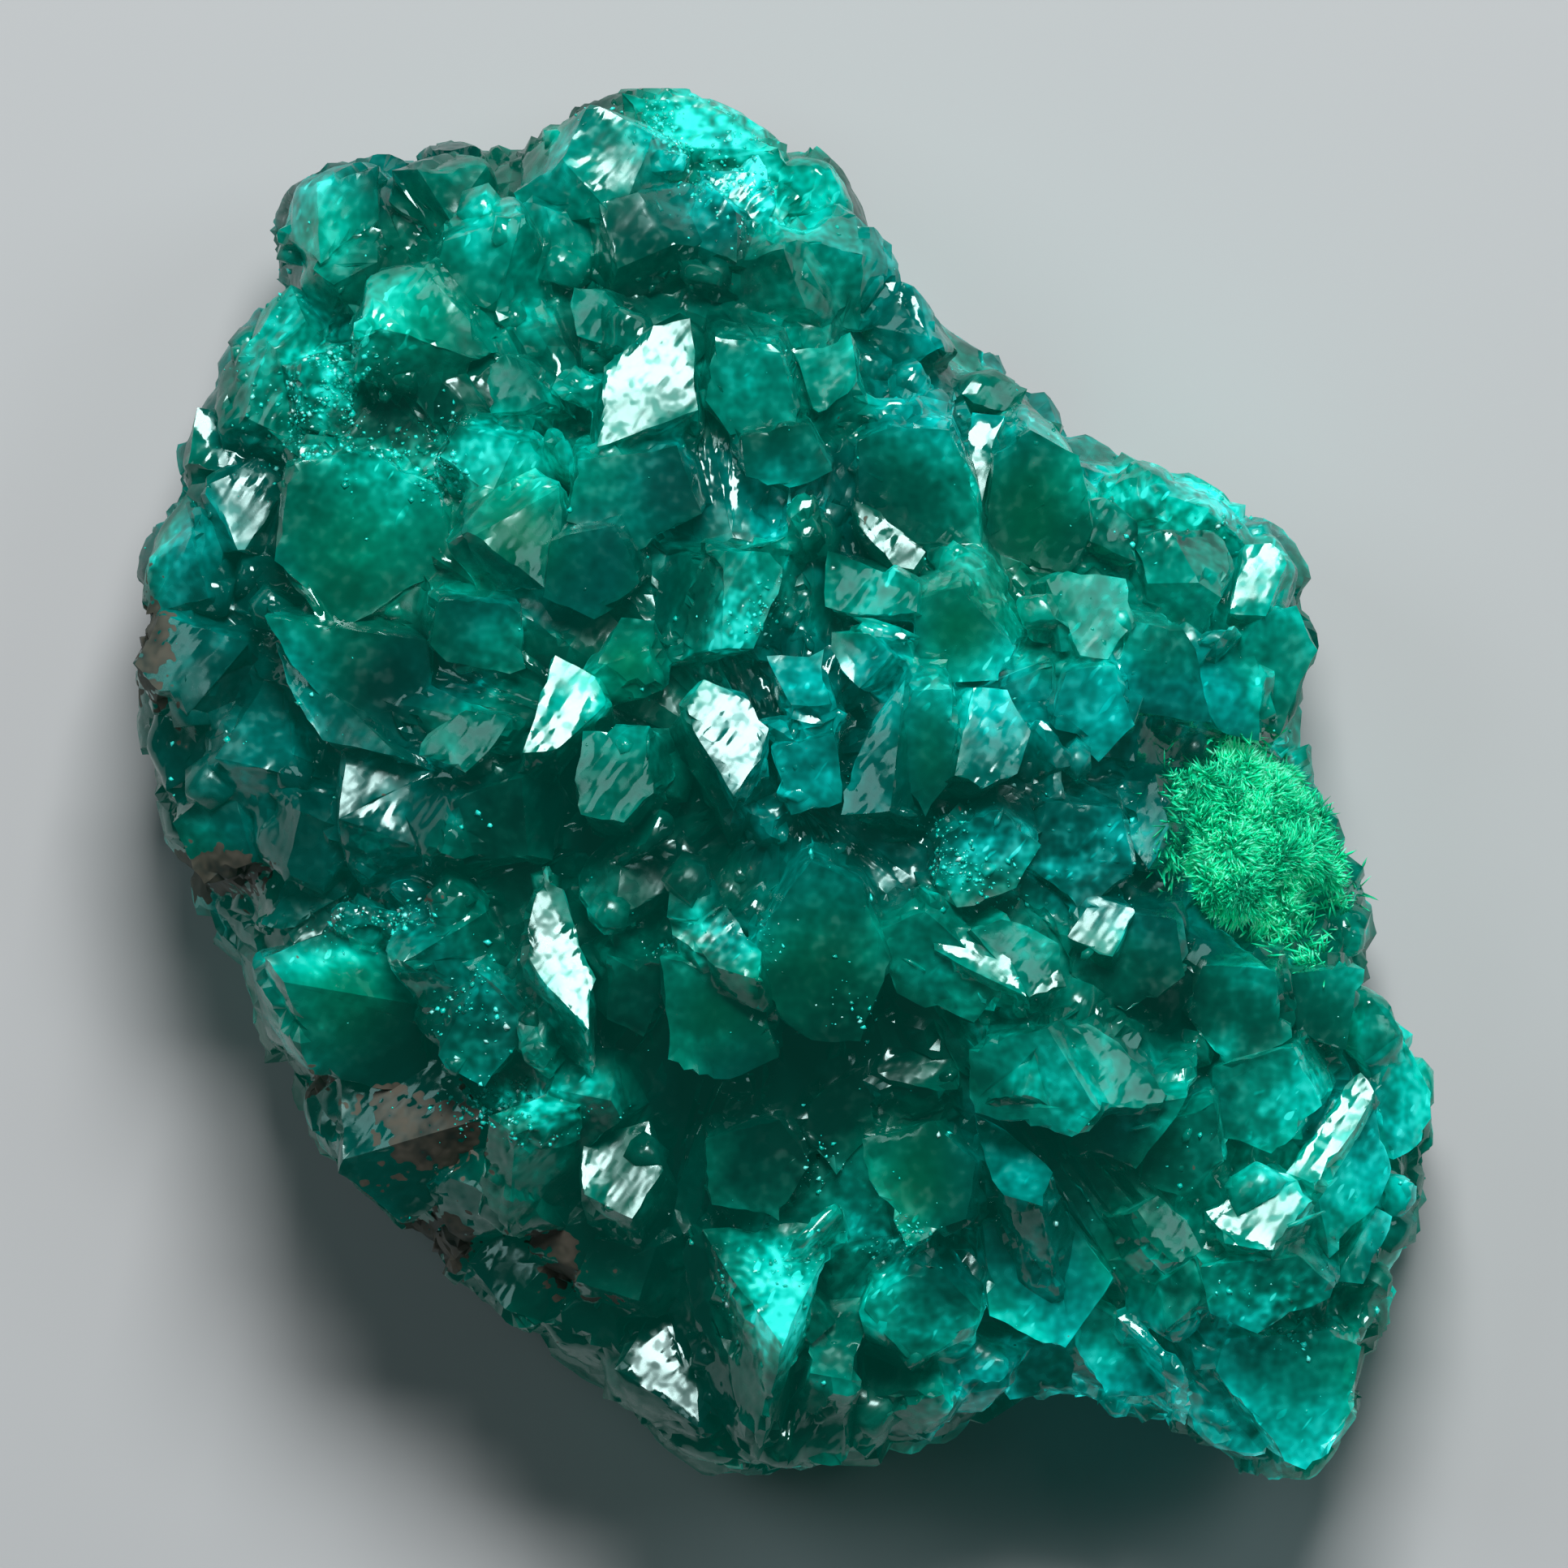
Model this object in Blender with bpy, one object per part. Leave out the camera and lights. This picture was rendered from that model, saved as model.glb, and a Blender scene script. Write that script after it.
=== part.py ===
"""A hand specimen of dioptase with a tuft of malachite.

The specimen lies on its flat broken base in the plane z = 0. It is seen from straight above in
its usual view: +Y is the upper edge, +X the right edge. All its crystals have grown together, so
they are one solid: a low domed mass, the flat ends of crystals that show on it, rounded lumps
round the rims, and pointed crystals between them. The tuft is a solid of its own in a niche.

Sizes below are in millimetres, and are turned into metres when the meshes are written.
"""

import itertools
import math

import bmesh
import bpy
import numpy as np

MM = 0.001
SEED = 33

# Driving dimensions
CROWN_HEIGHT = 21.5
RIM_HEIGHT = 8.0
CROWN_ROUNDNESS = 0.7
WAIST_HEIGHT = 6.5
MASS_DEPTH = 1.1
FIT_GAP = 0.3
CAP_ANGLE = math.radians(51.0)
GROUND_PITCH = 7.8
FLANK_COUNT = 24
LUMP_PLANES = 10
MERGE_GAP = 0.004

# The rim of the specimen seen from above, clockwise from the knob at the upper left
OUTLINE = [
    (-18.85, 18.5), (-19.0, 20.9), (-18.65, 22.25), (-17.9, 23.0), (-16.1, 23.5), (-14.9, 23.3),
    (-14.1, 22.75), (-12.8, 23.85), (-11.75, 23.85), (-11.3, 23.5), (-9.8, 23.85), (-8.3, 25.05),
    (-5.4, 25.95), (-3.45, 25.7), (-1.1, 24.7), (0.1, 23.75), (1.0, 23.8), (2.25, 23.0),
    (3.05, 20.15), (4.9, 18.4), (6.1, 16.65), (9.05, 14.75), (9.2, 13.7), (11.5, 12.55),
    (16.0, 11.0), (16.95, 9.9), (18.1, 9.5), (18.95, 8.6), (20.0, 4.65), (19.45, 4.2),
    (18.95, 1.35), (19.75, 0.2), (20.5, -2.2), (21.55, -3.4), (21.8, -4.3), (21.6, -7.3),
    (22.85, -8.3), (24.2, -11.4), (23.65, -16.9), (22.45, -19.1), (21.25, -23.45),
    (20.75, -23.95), (20.65, -24.8), (19.5, -25.8), (18.6, -25.5), (17.6, -25.85),
    (15.2, -24.15), (11.1, -23.1), (9.0, -22.95), (5.9, -24.4), (-1.9, -25.85), (-4.8, -24.65),
    (-6.2, -22.75), (-9.1, -20.5), (-12.2, -18.8), (-13.05, -17.25), (-17.4, -13.65),
    (-18.15, -11.2), (-19.9, -9.3), (-20.15, -6.4), (-21.0, -4.05), (-22.4, -2.95),
    (-23.4, -0.5), (-24.1, 2.6), (-24.2, 5.0), (-23.85, 7.25), (-24.1, 8.0), (-23.6, 9.95),
    (-23.0, 10.55), (-21.95, 14.3),
]

# Flat crystal ends: corners seen from above, the bearing and tilt of the face in degrees (a
# bearing of 90 leans towards +Y), and its rise over the growth surface
ENDS = {
    "big_pentagon": ([(-6.6, 15.4), (-4.8, 16.9), (-3.45, 17.25), (-3.2, 13.85), (-6.9, 12.4)],
                     85, 18, 2.2),
    "east_step": ([(4.1, 15.45), (4.45, 15.65), (5.45, 15.2), (4.9, 14.45), (4.0, 14.8)],
                  88, 20, 1.6),
    "east_lower_step": ([(4.95, 14.35), (5.8, 14.9), (6.2, 14.3), (6.15, 13.4), (5.5, 13.35)],
                        80, 16, 1.5),
    "tall_side": ([(6.85, 14.0), (8.2, 13.7), (7.45, 11.3), (7.15, 10.25), (6.8, 12.8)],
                  86, 18, 1.4),
    "middle_chip": ([(-0.05, 10.1), (0.55, 10.85), (1.15, 10.9), (1.5, 9.35), (0.6, 8.85)],
                    84, 19, 1.0),
    "broken_crest": ([(2.65, 10.4), (4.3, 9.5), (5.2, 8.6), (4.75, 8.0), (4.0, 8.1),
                      (2.8, 9.65)], 90, 14, 1.2),
    "heart": ([(-2.95, 3.9), (-1.55, 3.45), (-0.75, 2.05), (-0.95, 0.95), (-1.85, -0.35),
               (-3.85, 2.85)], 86, 17, 1.8),
    "veiled_leaf": ([(-8.4, 4.7), (-6.95, 4.05), (-6.4, 3.2), (-8.3, 1.25), (-9.65, 1.2)],
                    95, 21, 1.4),
    "narrow_edge": ([(-8.65, 13.25), (-8.3, 13.1), (-7.75, 12.05), (-7.9, 11.75),
                     (-8.7, 12.65)], 84, 18, 1.3),
    "low_ledge": ([(2.55, 6.2), (4.9, 5.6), (4.75, 5.1), (2.5, 5.75)], 88, 22, 1.6),
    "crown_north_east": ([(17.1, 8.9), (18.05, 9.0), (18.7, 8.5), (17.8, 6.3), (16.45, 6.35)],
                         80, 20, 1.6),
    "step_north_east": ([(15.25, 5.4), (15.7, 5.95), (16.75, 6.05), (16.0, 5.2)], 85, 18, 1.2),
    "west_rhomb": ([(-8.75, -2.75), (-7.85, -5.05), (-7.05, -7.15), (-7.15, -9.05),
                    (-9.55, -6.4), (-9.5, -5.2)], 84, 18, 1.8),
    "south_blade": ([(5.4, -5.25), (6.95, -5.35), (8.3, -6.4), (8.9, -7.75), (7.1, -6.8),
                     (5.55, -6.05)], 88, 20, 1.6),
    "east_streak": ([(21.35, -10.5), (21.85, -11.4), (19.7, -14.85), (18.65, -14.3)],
                    86, 18, 2.0),
    "twin_upper": ([(16.15, -14.6), (17.3, -13.85), (18.2, -14.55), (16.7, -15.9)],
                   150, 18, 1.5),
    "twin_lower": ([(15.6, -15.75), (18.25, -14.45), (19.0, -14.55), (19.65, -15.3),
                    (18.05, -17.15), (16.4, -16.75)], 85, 16, 2.0),
    "middle_step": ([(4.8, -3.55), (5.05, -3.35), (5.8, -3.85), (5.75, -4.3), (5.2, -4.25)],
                    85, 18, 1.4),
    "spear_side": ([(12.3, -19.75), (12.8, -19.1), (13.7, -20.4), (14.9, -21.9),
                    (14.2, -21.5)], 82, 20, 1.2),
    "north_hexagon": ([(-7.8, 18.45), (-6.65, 18.25), (-6.15, 17.6), (-6.55, 16.25),
                       (-7.7, 16.55), (-8.0, 17.85)], 150, 18, 1.8),
    "north_square": ([(-6.15, 17.65), (-4.75, 17.25), (-5.0, 15.7), (-6.2, 16.25)],
                     20, 16, 2.4),
    "north_west_square": ([(-8.2, 15.3), (-6.95, 14.95), (-7.35, 14.05), (-8.6, 14.65)],
                          160, 20, 1.8),
    "north_west_end": ([(-10.9, 15.55), (-10.25, 15.8), (-9.65, 15.5), (-8.85, 14.15),
                        (-9.5, 13.85), (-10.7, 13.85), (-11.1, 14.9)], 155, 20, 1.5),
    "north_dash": ([(-3.95, 19.45), (-2.45, 19.05), (-2.65, 18.45), (-3.95, 18.75)],
                   160, 22, 1.2),
    "east_corner": ([(7.15, 15.35), (8.05, 15.5), (9.0, 14.7), (8.65, 13.8), (7.0, 14.1),
                     (6.55, 14.55)], 20, 20, 1.5),
    "east_plate": ([(2.65, 14.3), (4.45, 14.55), (4.9, 14.0), (4.0, 13.25), (2.8, 13.7)],
                   150, 20, 1.4),
    "west_strip": ([(-18.95, 8.3), (-18.55, 8.95), (-16.55, 5.95), (-17.1, 6.0)], 165, 24, 1.2),
    "west_sickle": ([(-18.8, 5.3), (-17.15, 3.35), (-14.0, 0.95), (-17.0, 1.7),
                     (-18.35, 3.8)], 160, 24, 1.0),
    "west_end": ([(-11.75, 2.85), (-10.05, 2.45), (-10.85, 1.25), (-11.75, 0.4),
                  (-13.55, 1.1), (-13.1, 1.85)], 155, 20, 1.3),
    "clear_hexagon": ([(-7.4, 2.0), (-5.0, 2.0), (-4.9, -0.25), (-5.9, -1.35), (-7.4, -1.0),
                       (-7.75, 0.2)], 150, 12, 2.2),
    "middle_slab": ([(1.65, 8.6), (4.9, 7.4), (4.9, 6.35), (2.5, 6.3), (1.55, 6.6)],
                    150, 15, 1.5),
    "middle_side": ([(5.8, 8.9), (7.45, 8.3), (7.55, 7.4), (5.8, 7.25)], 25, 20, 1.0),
    "middle_kite": ([(1.75, 5.65), (3.1, 5.45), (4.0, 4.85), (2.8, 3.65), (1.75, 5.0)],
                    160, 18, 1.2),
    "east_small_end": ([(8.55, 6.9), (9.7, 7.15), (10.15, 6.05), (8.7, 5.95)], 150, 22, 1.5),
    "east_broad_end": ([(9.7, 7.55), (10.45, 7.95), (12.55, 7.55), (12.85, 6.05),
                        (11.95, 4.65), (10.9, 4.75), (10.15, 6.35)], 30, 16, 1.8),
    "east_upper_end": ([(11.45, 10.4), (12.25, 10.55), (13.15, 9.8), (13.0, 8.3),
                        (11.35, 9.05)], 25, 20, 1.2),
    "teal_end": ([(6.9, 3.65), (8.2, 3.5), (9.05, 2.0), (8.5, 0.5), (7.3, 0.05),
                  (6.25, 0.35)], 30, 14, 2.3),
    "teal_side": ([(4.45, 3.95), (4.0, 1.85), (3.9, -1.0), (2.2, -1.0), (2.35, 0.5),
                   (3.4, 2.6)], 165, 22, 1.4),
    "east_wedge": ([(9.45, 2.6), (11.05, 0.8), (10.0, 0.6)], 20, 25, 1.0),
    "east_low_wedge": ([(10.15, 0.8), (10.75, -0.55), (9.7, -0.5)], 30, 22, 1.0),
    "long_shield": ([(9.5, -8.75), (11.15, -8.8), (12.3, -9.5), (14.2, -11.4),
                     (14.0, -11.75), (11.6, -11.9), (10.75, -10.85)], 30, 15, 2.4),
    "south_east_end": ([(12.8, -15.75), (13.75, -15.25), (14.8, -16.05), (15.3, -17.15),
                        (14.35, -17.6), (13.5, -16.9)], 25, 22, 1.2),
    "middle_triangle": ([(-0.8, 2.3), (0.4, 2.75), (0.55, 1.55)], 20, 18, 1.0),
    "hook": ([(-4.4, -0.7), (-3.85, -1.15), (-3.9, -1.7), (-5.0, -2.5), (-5.2, -2.2)],
             20, 24, 1.2),
    "shell_break": ([(-3.8, -2.9), (-3.05, -2.95), (-2.65, -3.55), (-3.35, -4.55),
                     (-3.85, -3.7)], 95, 24, 1.0),
    "top_square": ([(-4.75, 23.6), (-3.2, 23.45), (-3.35, 22.65), (-5.0, 22.7)], 20, 22, 1.6),
    "top_sheet": ([(-5.9, 25.6), (-3.45, 25.4), (-1.85, 24.8), (-0.1, 23.6), (-3.2, 23.6),
                   (-5.0, 24.05)], 92, 38, 1.0),
    "top_rough_end": ([(-3.2, 22.85), (-1.1, 23.0), (-0.5, 21.5), (-0.95, 20.75),
                       (-2.9, 21.35)], 88, 20, 1.4),
    "north_west_knob_end": ([(-13.85, 22.55), (-12.2, 23.0), (-11.3, 21.05), (-13.4, 21.35)],
                            95, 28, 1.2),
    "south_east_leaf": ([(22.0, -15.7), (22.5, -16.0), (22.35, -16.9), (21.4, -18.4),
                         (20.55, -18.35), (20.8, -17.5)], 20, 26, 1.5),
    "south_east_flap": ([(22.6, -14.35), (23.5, -14.35), (23.6, -15.4), (23.2, -15.7)],
                        20, 28, 1.2),
    "blade_back": ([(6.95, -5.35), (8.5, -5.0), (10.05, -5.85), (10.15, -7.25),
                    (9.0, -7.75)], 20, 18, 1.7),
    "ledge_band": ([(-16.7, -4.45), (-16.25, -4.05), (-14.0, -4.65), (-14.0, -5.2),
                    (-16.4, -5.0)], 86, 24, 1.4),
    "ledge_end": ([(-14.9, -3.7), (-14.0, -3.3), (-13.3, -3.85), (-14.0, -4.55)],
                  160, 24, 1.0),
    "ledge_teal_end": ([(-12.65, -3.55), (-12.2, -3.4), (-11.6, -4.0), (-12.05, -5.05),
                        (-12.8, -5.05), (-13.4, -4.3)], 160, 15, 1.0),
    "tuft_neighbour": ([(12.6, -0.8), (13.7, 0.4), (14.2, -1.5), (13.5, -3.0),
                        (12.9, -2.2)], 160, 20, 1.2),
    "south_flash": ([(0.1, -16.9), (1.0, -15.85), (2.05, -15.1), (2.2, -15.7),
                     (0.7, -16.9)], 90, 24, 1.4),
    "dark_block": ([(-18.2, 12.05), (-15.2, 12.2), (-12.8, 11.0), (-12.2, 8.3),
                    (-16.1, 5.9), (-18.8, 8.3)], 250, 8, 0.8),
    "dark_block_foot": ([(-19.1, 6.2), (-13.1, 5.3), (-13.1, 2.9), (-14.0, 1.4),
                         (-17.0, 3.2), (-18.2, 4.4)], 260, 12, 0.3),
    "prism_left": ([(-3.8, 5.3), (-3.2, 8.3), (-2.15, 8.6), (-2.3, 5.0), (-3.2, 4.9)],
                   185, 38, 1.2),
    "prism_right": ([(-2.15, 8.6), (-0.5, 8.6), (-0.1, 8.0), (-0.65, 6.2), (-1.1, 5.0),
                     (-2.3, 5.0)], 0, 30, 1.6),
    "clear_roof": ([(2.8, 12.65), (4.0, 13.25), (6.1, 13.1), (7.0, 11.0), (7.3, 8.6),
                    (4.9, 8.3), (2.8, 9.8)], 265, 10, 0.8),
    "green_wedge": ([(4.9, 6.8), (6.55, 7.35), (8.35, 5.0), (7.9, 3.8), (5.5, 3.8),
                     (4.75, 5.3)], 250, 15, 1.5),
    "green_tower": ([(7.75, 12.2), (9.1, 13.1), (10.9, 12.2), (11.35, 9.5), (10.3, 6.95),
                     (8.5, 6.8), (7.6, 9.2)], 300, 10, 1.3),
    "teal_triangle": ([(12.9, 6.0), (14.5, 5.9), (15.1, 5.0), (15.85, 2.3), (13.0, 2.6),
                       (12.4, 4.7)], 330, 20, 1.6),
    "rim_block": ([(17.8, 6.35), (18.9, 6.6), (19.6, 5.0), (19.2, 2.6), (18.3, 2.0),
                   (17.35, 2.6), (16.9, 5.0)], 340, 25, 1.0),
    "green_end": ([(4.75, 3.5), (6.1, 3.5), (6.4, 2.0), (6.25, 0.2), (5.2, -1.0),
                   (4.3, 0.2), (4.25, 2.3)], 280, 22, 1.4),
    "spotted_ridge": ([(-4.1, -4.6), (-2.6, -4.15), (-0.8, -6.1), (-0.95, -7.15),
                       (-2.6, -6.7), (-4.1, -5.5)], 100, 32, 1.2),
    "niche_foot": ([(18.6, -7.0), (20.3, -6.8), (21.3, -6.9), (20.8, -9.8), (19.0, -9.1)],
                   340, 15, 1.4),
    "east_wall": ([(19.75, -15.1), (21.7, -11.5), (22.6, -14.2), (22.0, -15.4),
                   (20.2, -17.35)], 345, 32, 1.0),
    "east_rim_wall": ([(23.0, -9.4), (24.0, -11.4), (23.8, -13.3), (22.6, -13.9),
                       (21.85, -11.4)], 0, 40, 0.8),
    "shield_left": ([(6.7, -9.7), (9.7, -8.95), (10.3, -10.0), (11.5, -11.95),
                     (10.6, -13.0), (7.0, -12.1)], 215, 30, 1.8),
    "shield_foot": ([(11.5, -12.0), (14.1, -11.8), (14.9, -11.5), (13.0, -14.2),
                     (10.6, -13.2)], 270, 30, 1.4),
    "bright_wedge": ([(7.0, -12.1), (8.5, -13.0), (10.0, -14.2), (9.4, -15.4),
                      (8.2, -15.1), (7.45, -13.9)], 100, 38, 1.0),
    "south_tower": ([(2.8, -13.0), (5.5, -12.4), (7.0, -13.9), (6.7, -16.0),
                     (4.6, -16.9), (3.25, -14.5)], 200, 15, 1.3),
    "south_block": ([(1.0, -19.0), (2.8, -19.0), (2.95, -20.2), (2.5, -22.0),
                     (1.0, -21.7)], 80, 34, 1.0),
    "corner_block": ([(16.3, -20.5), (20.2, -20.2), (21.4, -20.8), (21.0, -23.2),
                      (20.3, -24.4), (19.3, -25.2), (18.6, -25.0), (16.0, -21.7)],
                     300, 14, 1.2),
    "corner_upper_block": ([(15.4, -17.8), (19.0, -17.4), (20.5, -18.7), (17.8, -20.2),
                            (15.7, -19.6)], 290, 25, 1.4),
    "bright_triangle": ([(-3.05, -16.3), (1.0, -16.3), (1.45, -17.5), (-0.05, -20.65),
                         (-2.0, -18.1)], 75, 36, 1.6),
    "triangle_left": ([(-3.8, -16.9), (-2.9, -16.3), (-1.1, -19.3), (-2.3, -21.4),
                       (-3.5, -19.6)], 215, 30, 1.2),
    "banded_block": ([(-1.1, -5.5), (1.0, -2.8), (2.8, -3.7), (3.85, -6.4), (2.8, -9.4),
                      (1.0, -9.4), (-0.2, -8.5)], 265, 12, 1.2),
    "deep_green_block": ([(-4.4, -6.4), (-0.8, -7.3), (-0.2, -10.0), (-2.0, -10.9),
                          (-4.1, -10.0)], 260, 18, 0.8),
    "crevice_floor": ([(1.0, -11.5), (3.1, -10.3), (3.4, -12.7), (1.9, -14.2),
                       (0.7, -13.0)], 300, 25, -1.0),
    "south_middle_block": ([(-2.9, -13.0), (-0.2, -12.4), (1.0, -13.9), (-0.2, -16.0),
                            (-2.6, -15.4)], 250, 15, 0.5),
    "south_west_block": ([(-7.4, -13.0), (-5.0, -12.4), (-4.4, -14.2), (-5.6, -16.0),
                          (-7.4, -15.1)], 110, 20, 1.0),
    "rhomb_foot": ([(-9.9, -8.4), (-8.65, -8.1), (-8.8, -10.1), (-9.8, -10.1)],
                   150, 20, 1.0),
    "frosted_ledge": ([(-10.9, -12.2), (-9.7, -11.9), (-6.7, -10.6), (-6.4, -11.3),
                       (-9.9, -12.9)], 90, 42, 1.6),
    "sparkling_block": ([(5.8, -1.9), (7.9, -1.0), (9.4, -2.2), (8.5, -3.7),
                         (6.4, -4.3), (5.5, -3.7)], 280, 12, 1.3),
    "north_middle_block": ([(-2.6, 16.6), (-0.2, 16.3), (0.5, 13.5), (-2.0, 12.9),
                            (-2.9, 14.2)], 270, 10, 0.8),
    "north_east_bevel": ([(0.4, 16.0), (2.4, 16.6), (2.8, 14.8), (1.2, 13.6)], 100, 30, 0.6),
    "upper_middle_block": ([(-1.6, 12.9), (1.0, 13.3), (1.8, 11.6), (0.2, 10.8),
                            (-1.4, 11.4)], 300, 12, 0.5),
    "upper_west_block": ([(-7.6, 12.0), (-4.0, 12.4), (-3.0, 10.0), (-5.6, 8.6),
                          (-7.9, 9.8)], 250, 12, 1.0),
    "west_middle_block": ([(-8.6, 9.0), (-6.2, 9.6), (-5.2, 7.4), (-7.0, 6.2),
                           (-8.8, 7.0)], 240, 16, 0.8),
    "west_lower_block": ([(-12.8, 6.8), (-9.8, 6.6), (-9.6, 4.4), (-11.8, 4.0),
                          (-13.0, 5.2)], 290, 14, 0.6),
    "middle_bevel": ([(-0.6, 4.7), (1.4, 4.9), (1.6, 3.0), (0.2, 2.9)], 100, 30, 0.6),
    "middle_lower_block": ([(-0.4, 1.4), (1.9, 1.9), (2.1, -0.6), (0.2, -1.2)], 270, 18, 0.4),
    "east_middle_block": ([(10.4, 4.2), (12.2, 4.4), (13.0, 2.2), (11.6, 0.9),
                           (10.0, 2.6)], 280, 16, 1.0),
    "east_lower_block": ([(9.6, -0.6), (12.4, -0.8), (12.8, -3.2), (11.0, -4.6),
                          (9.0, -3.0)], 290, 10, 0.6),
    "niche_dark_block": ([(11.2, -4.4), (14.4, -5.0), (14.8, -7.0), (12.6, -8.4),
                          (10.6, -7.0)], 280, 14, 0.2),
    "niche_lower_block": ([(15.4, -6.6), (18.2, -6.8), (18.6, -9.2), (16.6, -10.6),
                           (14.8, -8.6)], 260, 12, 0.5),
    "east_deep_block": ([(15.8, -10.4), (18.8, -9.8), (19.8, -11.8), (18.0, -13.6),
                         (15.6, -12.8)], 240, 14, 0.9),
    "south_east_block": ([(13.6, -12.6), (15.8, -11.8), (16.4, -14.0), (14.8, -15.2),
                          (13.2, -14.6)], 270, 18, 0.6),
    "south_broad_block": ([(7.4, -16.2), (10.4, -15.8), (12.2, -18.2), (10.4, -20.8),
                           (7.6, -19.6)], 285, 12, 1.2),
    "south_rim_block": ([(7.6, -20.6), (10.6, -20.6), (10.8, -22.4), (8.4, -22.7)],
                        290, 25, 0.8),
    "spear_foot": ([(11.0, -19.0), (12.6, -20.0), (14.6, -22.6), (12.0, -22.8),
                    (10.8, -21.0)], 270, 20, 0.9),
    "blade_foot": ([(3.4, -5.4), (5.2, -4.6), (8.2, -7.4), (7.0, -8.8), (4.2, -7.6)],
                   255, 24, 0.8),
}

# Rounded lumps: middle, radii along X and Y, and rise of the top over the growth surface
LUMPS = [
    (-16.85, 21.35, 2.0, 2.1, 2.2), (-12.65, 22.1, 1.9, 1.7, 1.6), (-6.8, 22.7, 2.9, 2.7, 2.6),
    (1.15, 22.4, 1.3, 1.3, 1.6), (2.0, 19.2, 2.0, 2.1, 1.3), (4.1, 17.0, 2.1, 2.1, 0.9),
    (-0.2, 18.8, 2.2, 2.1, 1.0), (-2.9, 20.3, 2.0, 1.7, 0.9), (-5.0, 20.0, 2.2, 2.0, 1.4),
    (-8.3, 20.0, 2.1, 1.9, 0.8), (-11.0, 19.1, 2.3, 2.1, 1.2), (-13.7, 17.0, 2.4, 2.3, 1.4),
    (-16.1, 19.0, 1.8, 1.6, 0.4), (-18.3, 16.3, 2.0, 1.8, 1.6), (-19.1, 14.0, 2.2, 2.0, 1.4),
    (-16.9, 14.5, 1.8, 1.6, 1.0), (-20.9, 12.2, 1.6, 1.7, 1.0), (-20.3, 10.2, 1.9, 1.8, 0.6),
    (-22.0, 8.1, 1.9, 2.0, 1.6), (-21.5, 4.4, 2.4, 2.5, 1.0), (-22.0, 1.2, 1.9, 2.1, 0.8),
    (-20.4, -1.3, 2.3, 2.1, 0.8), (-19.1, 1.1, 2.3, 2.2, 0.6), (-17.0, -1.5, 2.6, 2.2, 0.4),
    (-14.3, -1.2, 2.5, 2.1, 0.3), (-11.9, -1.6, 2.3, 2.0, 0.3), (-9.9, -1.0, 2.2, 2.0, 0.5),
    (-9.8, 9.2, 2.1, 2.0, 1.7), (-10.6, 12.0, 2.2, 1.6, 1.1), (-5.75, 4.4, 1.4, 1.3, 0.9),
    (-16.1, -8.05, 3.9, 2.8, 2.4), (-17.4, -5.1, 2.2, 1.6, 0.9), (-12.2, -6.0, 2.3, 2.0, 0.8),
    (-11.0, -8.2, 2.4, 2.2, 0.9), (-13.4, -12.6, 3.5, 2.5, 1.4), (-16.6, -12.3, 1.5, 1.6, 0.9),
    (-10.2, -14.6, 2.8, 2.1, 1.0), (-14.4, -15.1, 1.4, 1.0, 0.8), (-11.6, -17.2, 1.4, 1.2, 0.7),
    (-9.4, -18.2, 2.5, 1.9, 1.1), (-6.6, -19.8, 2.2, 2.0, 1.0), (-4.4, -21.9, 2.3, 2.1, 1.4),
    (-5.3, -17.7, 2.1, 2.0, 0.6), (-7.6, -16.7, 1.9, 1.5, 0.4), (-2.9, -23.6, 2.0, 1.9, 1.4),
    (-0.2, -23.4, 2.3, 1.9, 1.5), (2.8, -23.3, 1.3, 1.4, 1.6), (4.9, -22.0, 2.2, 2.1, 1.3),
    (6.6, -21.4, 1.8, 1.9, 1.0), (0.0, -21.4, 1.8, 1.6, 0.8), (13.0, 10.6, 1.5, 1.3, 1.0),
    (15.1, 9.6, 1.7, 1.5, 1.2), (14.6, 7.7, 2.0, 1.6, 1.0), (17.7, 7.7, 1.3, 1.4, 0.8),
    (22.0, -9.2, 1.4, 1.5, 1.4), (20.9, -5.4, 0.8, 0.9, 0.5), (21.4, -19.2, 1.2, 1.4, 0.9),
    (16.5, 3.4, 1.7, 1.5, 0.6), (4.8, -10.6, 2.1, 1.8, -0.8), (-7.0, -11.3, 1.9, 1.6, 0.6),
    (-5.6, -3.6, 1.9, 1.6, 0.2), (-5.6, -7.0, 1.7, 1.9, 0.4), (14.2, -18.9, 1.5, 1.3, 0.0),
]

# Pointed crystals that show their tips: tip seen from above, the bearing and tilt of the long
# axis, rise of the tip over the growth surface, width and length
POINTS = [
    ((18.1, -25.0), 311, 76, 1.0, 3.0, 11.0),
    ((5.4, -17.6), 80, 20, 2.2, 4.6, 7.0),
    ((-0.6, 19.9), 60, 25, 1.6, 2.6, 5.0),
    ((9.6, 10.4), 20, 18, 2.4, 3.2, 6.0),
    ((-11.2, 10.8), 120, 30, 2.0, 2.6, 5.0),
    ((12.2, -6.3), 300, 30, 1.4, 2.6, 5.0),
    ((8.8, -11.4), 250, 22, 2.6, 3.6, 6.0),
]

# The tuft of malachite seen from above, and the levels that shape its pillow: the share of the
# outline's width and the height over the growth surface
TUFT_OUTLINE = [
    (16.15, 1.4), (17.5, 1.1), (18.7, 1.25), (19.75, 0.35), (20.0, -1.0), (20.5, -2.2),
    (21.0, -3.9), (19.4, -3.8), (19.2, -5.6), (17.9, -5.0), (16.6, -5.3), (15.25, -4.3),
    (15.3, -1.9), (14.2, -0.6), (14.6, 0.3),
]
TUFT_LEVELS = [(0.70, -3.4), (0.98, -0.9), (0.84, 0.6), (0.45, 1.4)]

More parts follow.
